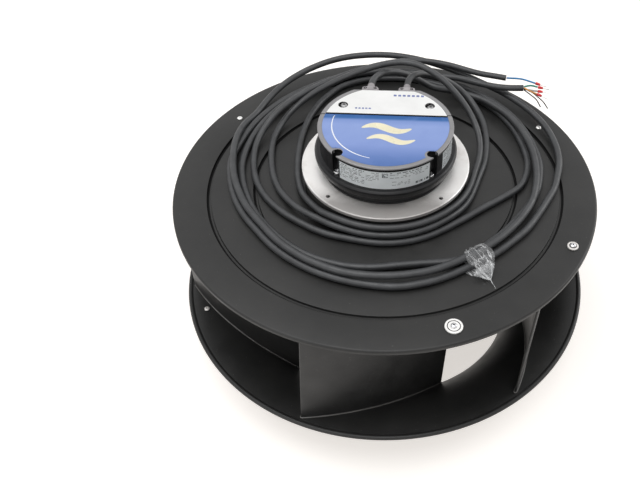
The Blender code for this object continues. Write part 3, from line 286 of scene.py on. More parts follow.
def black_plastic():
    """Moulded glass-filled plastic."""
    look = Look("black_plastic", (0.010, 0.010, 0.011), 0.35, 0.0, 0.30)
    look.clouds(60, (0.007, 0.007, 0.008), (0.013, 0.013, 0.014))
    look.sheen(look.noise(90), 0.26, 0.42)
    look.grain(1500, 0.00003)
    return look.mat


def cord_sheath():
    look = Look("cord_sheath", (0.045, 0.046, 0.048), 0.45)
    look.clouds(70, (0.032, 0.033, 0.035), (0.052, 0.054, 0.057))
    look.sheen(look.noise(160), 0.38, 0.54)
    look.grain(900, 0.00004)
    return look.mat


def turned_aluminium(name="turned_aluminium", painted_front_shade=False):
    """Faced on a lathe: fine rings, slightly uneven sheen; optionally painted shade darkens the
    front, standing in for its dull reflection.
    """
    look = Look(name, (0.90, 0.88, 0.86), 0.42, 0.32)
    x, y = look.axis("X"), look.axis("Y")
    radius = look.math('SQRT', look.math('MULTIPLY_ADD', x, x, look.math('MULTIPLY', y, y)))
    rings = look.node("ShaderNodeTexNoise")
    rings.noise_dimensions = '1D'
    for name, value in (("Scale", 2200), ("Detail", 2), ("W", radius)):
        look.feed(rings.inputs[name], value)
    stains = look.noise(26, 4, 0.6, 0.4)
    bright = look.ramp(stains, [(0.32, (0.72, 0.69, 0.66)), (0.45, (0.89, 0.87, 0.85)),
                                (0.65, (0.94, 0.93, 0.91))])
    if painted_front_shade:
        # painted shade: the front side is darkened, standing in for the dull reflection of the
        # faced disc there
        depth = look.math('MULTIPLY_ADD', stains, 0.03, y)
        shade_share = look.spread(depth, -0.052, -0.030, 0.82, 0.0)
        bright = look.mix(shade_share, bright, (0.30, 0.285, 0.275))
    look.paint(bright)
    look.sheen(stains, 0.50, 0.34)
    look.bump(rings.outputs["Fac"], 0.00002)
    return look.mat


def steel(name="steel", colour=(0.58, 0.58, 0.59), roughness=0.28):
    look = Look(name, colour, roughness, 1.0)
    grain = look.noise(240)
    look.sheen(grain, roughness - 0.07, roughness + 0.10)
    look.bump(grain, 0.00002)
    return look.mat


def streaked(name, colour, roughness, scale, stretch, dark, light, depth):
    """Metal in thin layers or strands: dark and light are (place, colour) on a ramp."""
    look = Look(name, colour, roughness, 0.8)
    lines = look.noise(scale, 2, 0.5, coords=look.stretched(stretch))
    look.paint(look.ramp(lines, [dark, light]))
    look.bump(lines, depth)
    return look.mat


def grained(name, colour, roughness=0.4, metallic=0.0, scale=900.0, depth=0.00003, shift=0.2,
            specular=0.5):
    """Plain moulded or pressed material with slight unevenness."""
    look = Look(name, colour, roughness, metallic, specular)
    look.clouds(scale / 5, tuple(c * (1 - shift) for c in colour),
                tuple(min(1.0, c * (1 + shift)) for c in colour))
    look.sheen(look.noise(scale / 2, 2, 0.5), roughness - 0.06, roughness + 0.06)
    look.grain(scale, depth)
    return look.mat


def front_label():
    """Printed film: pale blue, darker towards the seam and the front edge."""
    look = Look("front_label", (0.25, 0.35, 0.68), 0.30, 0.0, 0.35, 0.15)
    look.set("Coat Roughness", 0.08)
    base = look.ramp(look.spread(look.axis("Y"), -0.063, 0.0155, 0.0, 1.0),
                     [(0.0, (0.075, 0.16, 0.42)), (0.16, (0.120, 0.21, 0.50)),
                      (0.38, (0.235, 0.33, 0.66)), (0.78, (0.27, 0.37, 0.70)),
                      (0.88, (0.20, 0.30, 0.63)), (0.925, (0.012, 0.115, 0.36)),
                      (1.0, (0.005, 0.085, 0.31))])
    wear = look.spread(look.noise(38, 4, 0.65, 0.6), 0.45, 0.75, 0.0, 0.35)
    look.paint(look.mix(wear, base, (0.18, 0.27, 0.60)))
    look.grain(70, 0.00008)
    return look.mat


def film_label(name, colour, roughness, coat, scale, dark, light, grain):
    """Printed film of one colour."""
    look = Look(name, colour, roughness, coat=coat)
    look.clouds(scale, dark, light)
    look.grain(grain, 0.00005)
    return look.mat


def clear_film():
    """Thin crumpled film: nearly clear, whiter along its folds."""
    look = Look("clear_film", (0.86, 0.87, 0.88), 0.12)
    look.set("IOR", 1.45)
    look.coords = look.node("ShaderNodeMapping", Vector=look.coords,
                            Rotation=(0, 0, -TIE_AZIMUTH)).outputs["Vector"]
    folds = look.noise(34, 3, 0.55, 0.8, look.stretched((1.0, 6.0, 3.0)))
    crease = look.math('ABSOLUTE', look.math('SUBTRACT', folds, 0.5))
    look.set("Alpha", look.spread(crease, 0.0, 0.030, 0.80, 0.16))
    look.bump(folds, 0.0010)
    return look.mat


LOOKS = {
    "black_paint": black_paint(),
    "machined_aluminium": turned_aluminium(),
    "steel": steel(),
    "lamination": streaked("lamination", (0.18, 0.18, 0.19), 0.5, 60, (0.05, 0.05, 30),
                           (0.4, (0.10, 0.10, 0.11)), (0.6, (0.26, 0.26, 0.27)), 0.00006),
    "magnet": grained("magnet", (0.07, 0.07, 0.075), 0.5, 0.3, 500),
    "winding": streaked("winding", (0.50, 0.20, 0.08), 0.35, 300, (1, 1, 4),
                        (0.35, (0.22, 0.07, 0.03)), (0.65, (0.62, 0.27, 0.11)), 0.0002),
    "black_plastic": black_plastic(),
    "board": grained("board", (0.02, 0.14, 0.06), 0.45, 0.0, 700),
    "cover": grained("cover_grey", (0.27, 0.265, 0.27), 0.42, 0.3, 500, 0.00002, 0.08),
    "gland_grey": grained("gland_grey", (0.34, 0.32, 0.33), 0.5, 0.0, 700, 0.00005),
    "cord_black": cord_sheath(),
    "clear_film": clear_film(),
    "wire_blue": grained("wire_blue", (0.02, 0.22, 0.50)),
    "wire_green": grained("wire_green", (0.03, 0.26, 0.19)),
    "wire_grey": grained("wire_grey", (0.42, 0.42, 0.41)),
    "wire_orange": grained("wire_orange", (0.66, 0.30, 0.08)),
    "ferrule_red": grained("ferrule_red", (0.70, 0.02, 0.025), 0.35, 0.0, 900, 0.00002, 0.12),
}
# the flange's aluminium, with painted shade on its front side
FLANGE_ALUMINIUM = turned_aluminium("flange_aluminium", True)
TIN = steel("tin", (0.72, 0.72, 0.70), 0.3)
# near-black with little sheen: painted shade for the insides of holes, grooves and gaps
SHADE_BLACK = grained("painted_shade_black", (0.008, 0.008, 0.008), 0.8, 0.0, 300, specular=0.1)
SCREW_STEEL = steel("screw_steel", (0.30, 0.30, 0.30), 0.45)
# lighter grey for the bead along each blade's foot: a painted highlight of the seam
SEAM_HIGHLIGHT = grained("seam_painted_highlight", (0.13, 0.125, 0.12), 0.35)
LABEL_BLUE = front_label()
LABEL_WHITE = film_label("white_label", (0.90, 0.90, 0.89), 0.3, 0.3, 45,
                         (0.86, 0.86, 0.85), (0.93, 0.93, 0.92), 90)
LABEL_SILVER = film_label("rating_label", (0.86, 0.90, 0.91), 0.34, 0.0, 60,
                          (0.80, 0.84, 0.86), (0.90, 0.94, 0.95), 80)
INK_DARK = grained("ink_dark", (0.11, 0.12, 0.13))
INK_BLUE = grained("ink_blue", (0.16, 0.20, 0.42))
INK_CREAM = grained("ink_cream", (0.88, 0.82, 0.60), 0.3, 0.0, 200, 0.00001, 0.06)
INK_WHITE = grained("ink_white", (0.88, 0.90, 0.93), 0.3, 0.0, 200, 0.00001, 0.04)


# Mesh tools

SHARP_ANGLE = radians(32)


def mesh_from(verts, faces):
    """A mesh with outward normals, smooth but for its sharp edges."""
    mesh = bpy.data.meshes.new("mesh")
    mesh.from_pydata([tuple(v) for v in verts], [], faces)
    shape = bmesh.new()
    shape.from_mesh(mesh)
    bmesh.ops.recalc_face_normals(shape, faces=shape.faces)
    shape.to_mesh(mesh)
    shape.free()
    mesh.shade_smooth()
    mesh.set_sharp_from_angle(angle=SHARP_ANGLE)
    return mesh


def joined(meshes):
    """One mesh from several, keeping their shading and material numbers."""
    shape = bmesh.new()
    for mesh in meshes:
        shape.from_mesh(mesh)
        bpy.data.meshes.remove(mesh)
    whole = bpy.data.meshes.new("mesh")
    shape.to_mesh(whole)
    shape.free()
    return whole


def piece(name, data, slot, look=None, turn=STATOR_TURN, body="stator"):
    """An object that rides a body, from a mesh, a list of meshes to join, or a curve."""
    if isinstance(data, list):
        data = joined(data)
    data.name = name
    obj = bpy.data.objects.new(name, data)
    bpy.context.scene.collection.objects.link(obj)
    look = look or LOOKS[slot]
    for material in look if isinstance(look, tuple) else (look,):
        data.materials.append(material)
    obj.rotation_euler.z = turn
    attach(obj, body)
    return obj


def stand_in(node, *options):
    """The finer piece that is seen in place of a CAD node."""
    obj = piece(f"{node}_fine", *options)
    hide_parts(node)
    return obj


def wheel_piece(node, mesh, slot="black_paint", look=None):
    return stand_in(node, mesh, slot, look, 0.0, "impeller")


def rounded(points, closed=True, segments=4):
    """An outline of (x, y, corner radius) or (x, y), with its corners rounded off."""
    outline = []
    count = len(points)
    for i, point in enumerate(points):
        corner = Vector(point[:2])
        radius = point[2] if len(point) > 2 else 0.0
        if not radius or (not closed and i in (0, count - 1)):
            outline.append(tuple(corner))
            continue
        before = Vector(points[i - 1][:2]) - corner
        after = Vector(points[(i + 1) % count][:2]) - corner
        half = before.angle(after) / 2
        reach = min(radius / tan(half), before.length * 0.49, after.length * 0.49)
        radius = reach * tan(half)
        centre = corner + (before.normalized() + after.normalized()).normalized() * (
            radius / sin(half))
        start = corner + before.normalized() * reach - centre
        end = corner + after.normalized() * reach - centre
        first = atan2(start.y, start.x)
        turn = (atan2(end.y, end.x) - first + pi) % (2 * pi) - pi
        for k in range(segments + 1):
            angle = first + turn * k / segments
            outline.append((centre.x + radius * cos(angle), centre.y + radius * sin(angle)))
    return outline


def turned(outline, steps=192, closed=True):
    """A mesh turned about Z from an outline of (radius, height)."""
    verts = []
    rings = []
    for radius, height in outline:
        if radius < 1e-6:
            rings.append([len(verts)] * steps)
            verts.append((0, 0, height))
        else:
            rings.append(range(len(verts), len(verts) + steps))
            verts += [(x, y, height) for x, y in circle(radius, steps=steps)]
    faces = []
    following = rings[1:] + ([rings[0]] if closed else [])
    for upper, lower in zip(rings, following):
        for i in range(steps):
            j = (i + 1) % steps
            face = list(dict.fromkeys((upper[i], lower[i], lower[j], upper[j])))
            if len(face) > 2:
                faces.append(face)
    return mesh_from(verts, faces)


def prism(outline, low, high):
    """A solid between two heights, from a plan outline."""
    count = len(outline)
    verts = [(x, y, z) for z in (low, high) for x, y in outline]
    faces = [list(range(count)), list(range(count, 2 * count))]
    faces += [(i, (i + 1) % count, count + (i + 1) % count, count + i) for i in range(count)]
    return mesh_from(verts, faces)


def slab(x0, y0, x1, y1, low, high):
    return prism([(x0, y0), (x1, y0), (x1, y1), (x0, y1)], low, high)


def loft(sections, closed_ends=True, nose=None):
    """A skin through sections that all have the same number of points.

    An end is one face, or a strip across a long section whose tip lies nose points before its
    first point. Such an end may bend up and down along its length.
    """
    count = len(sections[0])
    verts = [point for section in sections for point in section]
    faces = []
    for row in range(0, len(verts) - count, count):
        for i in range(count):
            j = (i + 1) % count
            faces.append((row + i, row + j, row + count + j, row + count + i))
    for first in (0, len(verts) - count) if closed_ends else ():
        if nose is None:
            faces.append(list(range(first, first + count)))
            continue
        for i in range(-nose, count // 2 - nose):
            ring = (i, i + 1, -2 * nose - i - 1, -2 * nose - i)
            faces.append([first + k for k in dict.fromkeys(j % count for j in ring)])
    return mesh_from(verts, faces)


def tube_sections(points, radius, sides=10):
    """Round sections along a line, for loft()."""
    points = [Vector(p) for p in points]
    sections = []
    side = None
    for i, point in enumerate(points):
        ahead = points[min(i + 1, len(points) - 1)] - points[max(i - 1, 0)]
        ahead.normalize()
        if side is None:
            side = ahead.orthogonal().normalized()
        side = (side - ahead * side.dot(ahead)).normalized()
        up = ahead.cross(side)
        size = radius[i] if isinstance(radius, (list, tuple)) else radius
        sections.append([point + (side * cos(2 * pi * k / sides) + up * sin(2 * pi * k / sides))
                         * size for k in range(sides)])
    return sections


def cut_with(obj, cutters):
    """Cuts the cutter meshes out of a piece, for good."""
    for mesh in cutters:
        cutter = bpy.data.objects.new("cutter", mesh)
        bpy.context.scene.collection.objects.link(cutter)
        mod = obj.modifiers.new("cut", 'BOOLEAN')
        mod.operation = 'DIFFERENCE'
        mod.solver = 'EXACT'
        mod.object = cutter
        depsgraph = bpy.context.evaluated_depsgraph_get()
        cut_mesh = bpy.data.meshes.new_from_object(obj.evaluated_get(depsgraph))
        obj.modifiers.clear()
        obj.data = cut_mesh
        bpy.data.objects.remove(cutter)
    obj.data.shade_smooth()
    obj.data.set_sharp_from_angle(angle=SHARP_ANGLE)


def moved(mesh, x, y, z=0.0):
    mesh.transform(Matrix.Translation((x, y, z)))
    return mesh


def recolour(mesh, chosen=lambda centre, normal: True):
    """Gives the second material to the faces whose centre and normal are chosen."""
    for face in mesh.polygons:
        if chosen(face.center, face.normal):
            face.material_index = 1
    return mesh


def circle(radius, place=(0, 0), steps=32):
    return [(place[0] + radius * cos(2 * pi * i / steps),
             place[1] + radius * sin(2 * pi * i / steps)) for i in range(steps)]


def polar(radius, azimuth):
    return (radius * cos(azimuth), radius * sin(azimuth))


# Cords

def ring_point(azimuth, radius, height):
    turn = radians(azimuth)
    return (radius * cos(turn), COIL_CENTRE_Y + COIL_STRETCH * radius * sin(turn), height)


def ring_track(slots):
    """Points in the bundle, through slots of (azimuth in degrees, radius and height in mm)."""
    points = []
    for first, last in zip(slots, slots[1:]):
        count = ceil(abs(last[0] - first[0]) / 12)
        for k in range(1 if points else 0, count + 1):
            azimuth, radius, height = (a + (b - a) * k / count for a, b in zip(first, last))
            points.append(ring_point(azimuth, radius / 1000, height / 1000))
    return points


def free_run(points):
    """Points of a stretch outside the bundle, given in millimetres."""
    return [tuple(value / 1000 for value in point) for point in points]


# The power cord leads in, runs once round on top, out over the back, and twice round below
POWER_ROUTE = (
    free_run([
        (-17.6, 76.4, 264.5), (-17.3, 87, 264.5), (-14, 98.5, 264), (-7, 110, 262),
        (3, 120.5, 257.5), (14.5, 130, 250), (27.5, 138.5, 239.5), (41, 145, 227.5),
        (54, 149, 217.5)])
    + ring_track([
        (56, 146.8, 211.9), (44, 155, 211.8), (30, 160, 211.8), (3, 162, 211.8), (-20, 163, 211.8),
        (-40, 160, 211.8), (-60, 158, 211.8), (-74, 160, 211.5), (-103, 161, 211.2),
        (-120, 159, 211.2), (-142, 156, 211.2), (-160, 160, 211.4), (-180, 166, 211.8),
        (-190, 170, 211.8), (-200, 173.8, 208)])
    + free_run([
        (-153, 111, 204.2), (-142.5, 134.5, 207), (-124.5, 160, 212.5), (-98.5, 181.5, 218),
        (-66, 197.5, 222.5), (-30, 206, 224), (8, 207.5, 223), (45, 202.5, 219), (80, 190, 214.5),
        (111, 172, 210.8), (140, 150, 209.2), (166, 119, 208.5), (182, 88, 207.5),
        (189.5, 57, 206), (190, 30, 204.4), (184.3, 5.2, 204.2), (176.8, -17.3, 204.2)])
    + ring_track([
        (-30, 171.2, 204.2), (-40, 167.5, 204.2), (-50, 165.5, 204.2), (-60, 164, 204.2),
        (-74, 166.5, 204.2), (-84, 167.7, 204.2), (-103, 164.5, 204.2), (-142, 161, 204.2),
        (-160, 165, 204.2), (-180, 169.5, 204.2), (-195, 167, 204.2), (-209, 166.2, 204.2),
        (-225, 166, 204.2), (-270, 167, 204.2), (-315, 169, 204.2), (-330, 169, 204.2),
        (-345, 168.2, 204.2), (-360, 168, 204.2), (-372, 165, 204.2), (-382, 160, 204.2),
        (-392, 155.5, 204.2), (-405, 153, 204.2), (-420, 153, 204.2), (-434, 143.8, 204.2),
        (-444, 142, 204.2), (-463, 147.5, 204.2), (-480, 150, 204.2), (-502, 151, 204.2),
        (-520, 153, 204.2), (-540, 157, 204.2), (-560, 157.5, 204.5), (-585, 157, 207.5),
        (-600, 159, 210.8), (-630, 161, 211.5), (-650, 161, 213.5), (-661, 163.5, 218)])
    + free_run([
        (101, 158, 220.3), (117, 151.5, 220.6), (131, 147.8, 220.5), (145.5, 146.7, 220.2),
        (160.2, 147.4, 220)]))
# The control cord passes through the bundle once, underneath
CONTROL_ROUTE = (
    free_run([
        (21.3, 75.3, 264.5), (21.7, 87, 264.5), (24.5, 99, 263.8), (30, 111, 260.5),
        (38.5, 122, 255), (49, 131, 247.5), (61, 137.5, 239), (73.5, 140.5, 230),
        (85.5, 139, 221.5), (96, 132, 214), (104.5, 119, 208), (110.3, 101.7, 205),
        (112.4, 82.6, 203.9), (112, 57.4, 203.9), (107.6, 28.7, 203.9), (100.2, 5.2, 203.9),
        (93.4, -16.5, 203.9), (86.2, -34.8, 204.5), (77.6, -50.4, 207.3), (66.5, -64.3, 210.3),
        (51.7, -76.7, 211.1), (34.7, -85.8, 211.1), (16.1, -91.1, 211.1), (-3.2, -92.4, 211.1),
        (-22.4, -89.8, 211.1), (-40.8, -83.6, 211.1), (-55.7, -76.7, 210.8), (-85.9, -55.2, 208.5),
        (-103.9, -33.7, 205.5), (-115.5, -12.6, 203.9), (-122, 7.2, 203.9), (-125.8, 27.1, 203.9),
        (-127.9, 47.7, 203.9), (-127.3, 66.9, 204.2), (-122.2, 86.1, 206), (-113.5, 102, 211),
        (-100.6, 112.7, 219), (-85.4, 118.5, 228.5), (-68.9, 120.5, 238.5), (-51.4, 121.9, 247.5),
        (-34.1, 122.5, 255.5), (-17.1, 122.5, 262.5), (-0.1, 121.7, 268), (15.6, 120, 271),
        (30.1, 116.3, 271.5), (44.6, 110.4, 268.5), (58.7, 103.8, 262), (71.7, 96.1, 253),
        (83.2, 87.7, 243), (92.4, 78.3, 233), (98.5, 67.2, 225), (102.2, 54.5, 218.8),
        (102.8, 40.5, 214.2), (100.8, 25, 212), (96.4, 8.4, 211.5), (91.7, -9.6, 211.8),
        (85.9, -27.9, 213.3), (77.7, -44.8, 215.2), (66.6, -60, 217.2), (52.7, -72.5, 218.2),
        (36.4, -81.9, 218.4), (18.6, -87.6, 218.4), (0, -89.6, 218.4), (-18.6, -87.6, 218.4),
        (-36.4, -81.9, 218.4), (-52.7, -72.5, 217.2), (-65.7, -61.2, 213.8), (-82.6, -36.4, 208.5),
        (-89.6, -18.1, 205), (-94, 1.4, 203.9), (-96.2, 21.1, 203.9), (-97.3, 43.2, 203.9),
        (-96.6, 68, 203.9), (-93.2, 93.9, 203.9), (-86.9, 118, 203.9), (-78, 139, 203.9),
        (-68.2, 153.9, 203.9)])
    + ring_track([
        (113, 150, 203.9), (105, 154.5, 203.9), (98, 157, 203.9), (85, 158.5, 203.9),
        (71, 159, 203.9), (57, 159, 203.9), (43, 160, 203.9), (36, 160, 203.9), (27, 159, 203.9),
        (18.7, 157.5, 203.9), (3, 155.5, 203.9), (-5, 152, 203.9)])
    + free_run([
        (143.1, -10.1, 203.9), (134.9, -18, 203.9), (126.8, -24.9, 203.9), (114.7, -34.4, 203.9),
        (102.9, -42.7, 203.9), (90.9, -52.5, 203.9), (79, -61.8, 203.9), (67.7, -70.1, 203.9),
        (55.2, -78.9, 203.9), (39, -87.7, 203.9), (20, -93.9, 203.9), (0, -96, 203.9),
        (-18.3, -94.2, 203.9), (-33.1, -91, 203.9), (-52.8, -86.1, 203.9), (-68.6, -79.4, 203.9),
        (-84.9, -69.4, 203.9), (-100.6, -58.2, 203.9), (-114.4, -45.1, 203.9),
        (-126.1, -30.2, 203.9), (-135.2, -13.3, 203.9), (-141.5, 5.1, 203.9), (-145, 24.9, 203.9),
        (-146, 44.4, 204.8), (-143.5, 60.1, 207.8), (-137.6, 74.5, 212.3), (-129.1, 88.2, 217.5),
        (-119, 102.2, 220.7), (-106.5, 116.5, 222.8), (-90.8, 130.2, 225), (-73.4, 142.4, 227),
        (-54.7, 154.8, 228), (-34.4, 166.8, 228.5), (-13.1, 177.6, 228.5), (8.5, 186.3, 228),
        (30.5, 191.3, 227), (52.5, 191.4, 225.5), (73.3, 187.3, 224), (92.6, 180.5, 222.5),
        (109.4, 174.6, 221.3), (125, 171.4, 220.5), (141.7, 167.6, 220)]))

def even_points(route, spacing):
    """Evenly spaced points on a smooth curve through the route's points."""
    route = [Vector(point) for point in route]
    ends = [2 * route[0] - route[1]] + route + [2 * route[-1] - route[-2]]
    fine = []
    for i in range(1, len(ends) - 2):
        before, start, end, after = ends[i - 1:i + 3]
        for k in range(16):
            t = k / 16
            fine.append(0.5 * (2 * start + (end - before) * t
                               + (2 * before - 5 * start + 4 * end - after) * t * t
                               + (3 * start - before - 3 * end + after) * t ** 3))
    fine.append(route[-1])
    length = sum((b - a).length for a, b in zip(fine, fine[1:]))
    count = round(length / spacing)
    points = [fine[0]]
    travelled = 0.0
    for a, b in zip(fine, fine[1:]):
        step = (b - a).length
        while travelled + step >= length * len(points) / count and len(points) < count:
            share = (length * len(points) / count - travelled) / step
            points.append(a.lerp(b, share))
        travelled += step
    points.append(fine[-1])
    return points


def relaxed(points, rounds):
    """The points with their small bends smoothed out, the ends held."""
    for step in range(2 * rounds):
        weight = 0.5 if step % 2 == 0 else -0.52
        moved = [p.copy() for p in points]
        for i in range(2, len(points) - 2):
            middle = (points[i - 1] + points[i + 1]) / 2
            moved[i] = points[i] + (middle - points[i]) * weight
        points = moved
    return points


def line_length(points):
    return sum((b - a).length for a, b in zip(points, points[1:]))


def cord_curve(points, radius, sides=6):
    curve = bpy.data.curves.new("curve", 'CURVE')
    curve.dimensions = '3D'
    curve.bevel_depth = radius
    curve.bevel_resolution = sides
    curve.use_fill_caps = True
    spline = curve.splines.new('POLY')
    spline.points.add(len(points) - 1)
    for target, point in zip(spline.points, points):
        target.co = (*point, 1)
    spline.use_smooth = True
    return curve


CORD_STEP = 0.005
power_line = relaxed(even_points(POWER_ROUTE, CORD_STEP), 12)
control_line = relaxed(even_points(CONTROL_ROUTE, CORD_STEP), 12)
power_cord = piece("power_cord", cord_curve(power_line, POWER_CORD_RADIUS), "cord_black", turn=0)
control_cord = piece("control_cord", cord_curve(control_line, CONTROL_CORD_RADIUS), "cord_black",
                     turn=0)
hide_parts("power_cord_lead", "power_cord_outer_turn", "power_cord_tail",
            "power_cord_coil")
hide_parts("control_cord_lead", "control_cord_tail")


# Wires and ferrules at the cords' far ends

WIRE_ROUTES = (
    ("blue", (0.1423, 0.1676, 0.2200), (0.1600, 0.1650, 0.2206), (0.1760, 0.1575, 0.2200)),
    ("green", (0.1614, 0.1488, 0.2209), (0.1695, 0.1500, 0.2218), (0.1775, 0.1480, 0.2212)),
    ("grey", (0.1614, 0.1474, 0.2185), (0.1690, 0.1446, 0.2190), (0.1768, 0.1420, 0.2196)),
    ("orange", (0.1614, 0.1460, 0.2209), (0.1680, 0.1405, 0.2204), (0.1755, 0.1360, 0.2196)))
THIN_WIRE_ROUTES = (
    ("a", (0.1614, 0.1454, 0.2186), (0.1680, 0.1385, 0.2172), (0.1755, 0.1340, 0.2130),
     (0.1812, 0.1315, 0.2045)),
    ("b", (0.1614, 0.1493, 0.2186), (0.1685, 0.1478, 0.2162), (0.1760, 0.1410, 0.2138),
     (0.1840, 0.1340, 0.2100), (0.1895, 0.1285, 0.2045)))
WIRE_RADIUS = 0.0011
THIN_WIRE_RADIUS = 0.0007
WIRE_STEP = 0.0015
FERRULE_RADIUS = 0.0018
FERRULE_LENGTH = 0.0060
PIN_RADIUS = 0.0007
PIN_LENGTH = 0.0080
GAP = 0.0003


def make_wire(node, points, radius, slot):
    return stand_in(node, cord_curve(even_points(points, WIRE_STEP), radius, 3), slot, None, 0.0)


def make_ferrule(colour, end, direction):
    """Red sleeve with a flared mouth, and its tin pin."""
    radius = FERRULE_RADIUS
    length = FERRULE_LENGTH
    sleeve = turned(rounded(
        [(0, 0.0005), (radius * 0.62, 0.0005), (radius * 0.78, 0, 0.0001),
         (radius, 0.0002, 0.0002), (radius * 0.92, length * 0.5, 0.001),
         (radius * 0.80, length * 0.72, 0.001), (radius * 0.72, length, 0.0003), (0, length)],
        False), 20, False)
    pin = turned([(0, length - 0.0005), (PIN_RADIUS, length - 0.0005),
                  (PIN_RADIUS, length + PIN_LENGTH * 0.94),
                  (PIN_RADIUS * 0.7, length + PIN_LENGTH), (0, length + PIN_LENGTH)], 16, False)
    mesh = joined([sleeve, recolour(pin)])
    turn = Vector((0, 0, 1)).rotation_difference(direction).to_matrix().to_4x4()
    mesh.transform(Matrix.Translation(Vector(end) + direction * GAP) @ turn)
    return stand_in(f"ferrule_{colour}", mesh, "ferrule_red", (LOOKS["ferrule_red"], TIN), 0.0)


power_pieces = []
control_pieces = []
for colour, *points in WIRE_ROUTES:
    wire = make_wire(f"wire_{colour}", points, WIRE_RADIUS, f"wire_{colour}")
    end = Vector(points[-1])
    tip = make_ferrule(colour, end, (end - Vector(points[-2])).normalized())
    (control_pieces if colour == "blue" else power_pieces).extend((wire, tip))
for letter, *points in THIN_WIRE_ROUTES:
    power_pieces.append(make_wire(f"thin_wire_{letter}", points, THIN_WIRE_RADIUS, "cord_black"))


# Impeller

def shroud_line(offset, segments=40):
    """The shroud's inner face from the rim to the throat, moved by offset into the sheet."""
    controls = [Vector((SHROUD_RADIUS - 2 * RIM_BEAD_RADIUS, RIM_HEIGHT)),
                Vector((SHROUD_RADIUS - SHROUD_FLAT, RIM_HEIGHT)),
                Vector((INLET_RADIUS, SHROUD_THROAT_PULL)), Vector((INLET_RADIUS, INLET_FLAT))]
    points = []
    for i in range(segments + 1):
        t = i / segments
        weights = ((1 - t) ** 3, 3 * (1 - t) ** 2 * t, 3 * (1 - t) * t * t, t ** 3)
        point = sum((w * c for w, c in zip(weights, controls)), Vector((0, 0)))
        slopes = (3 * (1 - t) ** 2, 6 * (1 - t) * t, 3 * t * t)
        steps = [controls[k + 1] - controls[k] for k in range(3)]
        slope = sum((w * s for w, s in zip(slopes, steps)), Vector((0, 0))).normalized()
        points.append(tuple(point + Vector((-slope.y, slope.x)) * offset))
    return points


def groove_points(level, grow, corner):
    points = []
    for radius in GROOVE_RADII:
        half = GROOVE_WIDTH / 2 + grow
        floor = level - GROOVE_DEPTH
        points += [(radius - half, level, corner), (radius - half + 0.0002, floor, corner),
                   (radius, floor, 0.0), (radius + half - 0.0002, floor, corner),
                   (radius + half, level, corner)]
    return points


def make_back_plate():
    top = PLATE_TOP
    under = top - PLATE_THICK
    edge = top - PLATE_EDGE_HEIGHT
    outline = [(PLATE_HOLE_RADIUS, top, 0.0003)] + groove_points(top, 0.0, 0.0004)
    outline += [(PLATE_RADIUS, top, PLATE_EDGE_BEND), (PLATE_RADIUS, edge, 0.0003),
                (PLATE_RADIUS - PLATE_THICK, edge, 0.0003),
                (PLATE_RADIUS - PLATE_THICK, under, 0.0012)]
    outline += reversed(groove_points(under, GROOVE_FLARE, 0.0012))
    outline.append((PLATE_HOLE_RADIUS, under, 0.0003))
    plate = wheel_piece("back_plate", turned(rounded(outline, True, 5), 288),
                        look=(LOOKS["black_paint"], SHADE_BLACK))
    # painted shade: the outer half of each groove gets the second, near-black material
    recolour(plate.data, lambda centre, normal: top - 0.0035 < centre.z < top - 0.0004 and any(
        -0.0003 < centre.xy.length - radius < GROOVE_WIDTH / 2 for radius in GROOVE_RADII))


def make_shroud():
    inner = shroud_line(0.0)
    outer = shroud_line(SHROUD_THICK)
    bead = [(SHROUD_RADIUS - RIM_BEAD_RADIUS + RIM_BEAD_RADIUS * cos(radians(angle)),
             RIM_HEIGHT - SHROUD_THICK / 2 + RIM_BEAD_RADIUS * sin(radians(angle)))
            for angle in range(-140, 141, 20)]
    foot = rounded([inner[-1], (INLET_RADIUS, 0.0, 0.0008),
                    (INLET_RADIUS + SHROUD_THICK, 0.0, 0.0008), outer[-1]], False)[1:-1]
    wheel_piece("shroud", turned(inner + foot + outer[::-1] + bead, 288))


def height_on(line, radius):
    """Height of an outline at a radius."""
    for (r0, z0), (r1, z1) in zip(line, line[1:]):
        if min(r0, r1) <= radius <= max(r0, r1) and r0 != r1:
            return z0 + (z1 - z0) * (radius - r0) / (r1 - r0)
    return line[0][1] if radius > max(r for r, z in line) else line[-1][1]


def blade_frame():
    """Centre and angles of a blade's arc in plan, for an upright blade at its lower edge."""
    root = Vector(polar(BLADE_ROOT_RADIUS, FIRST_TIP_AZIMUTH + BLADE_WRAP))
    tip = Vector(polar(BLADE_TIP_RADIUS, FIRST_TIP_AZIMUTH))
    chord = tip - root
    outwards = Vector((-chord.y, chord.x)).normalized()
    middle = (root + tip) / 2
    if outwards.dot(middle) < 0:
        outwards.negate()
    centre = middle - outwards * sqrt(BLADE_ARC_RADIUS ** 2 - (chord.length / 2) ** 2)
    start = atan2(root.y - centre.y, root.x - centre.x)
    sweep = 2 * asin(chord.length / 2 / BLADE_ARC_RADIUS)
    return centre, start, sweep


def blade_outline(segments=132):
    """Plan outline of a blade: outer face, rounded tip, inner face, rounded root."""
    centre, start, sweep = blade_frame()
    half = BLADE_THICK / 2
    tuck = half / BLADE_ARC_RADIUS
    outline = []

    def at(angle, offset):
        radius = BLADE_ARC_RADIUS + offset
        return (centre.x + radius * cos(angle), centre.y + radius * sin(angle))

    first = start - tuck
    last = start - sweep + tuck
    for i in range(segments + 1):
        outline.append(at(first + (last - first) * i / segments, half))
    for k in range(1, 6):
        turn = pi * k / 6
        outline.append(at(last - tuck * sin(turn), half * cos(turn)))
    for i in range(segments + 1):
        outline.append(at(last + (first - last) * i / segments, -half))
    for k in range(1, 6):
        turn = pi * k / 6
        outline.append(at(first + tuck * sin(turn), -half * cos(turn)))
    return outline


def blade_point(x, y, height, number):
    """A plan point of the upright blade, leaned with height and turned to its place."""
    share = (height - BLADE_LOW) / (PLATE_TOP - BLADE_LOW)
    turn = BLADE_LEAN * share + 2 * pi * number / BLADE_COUNT
    return (x * cos(turn) - y * sin(turn), x * sin(turn) + y * cos(turn), height)


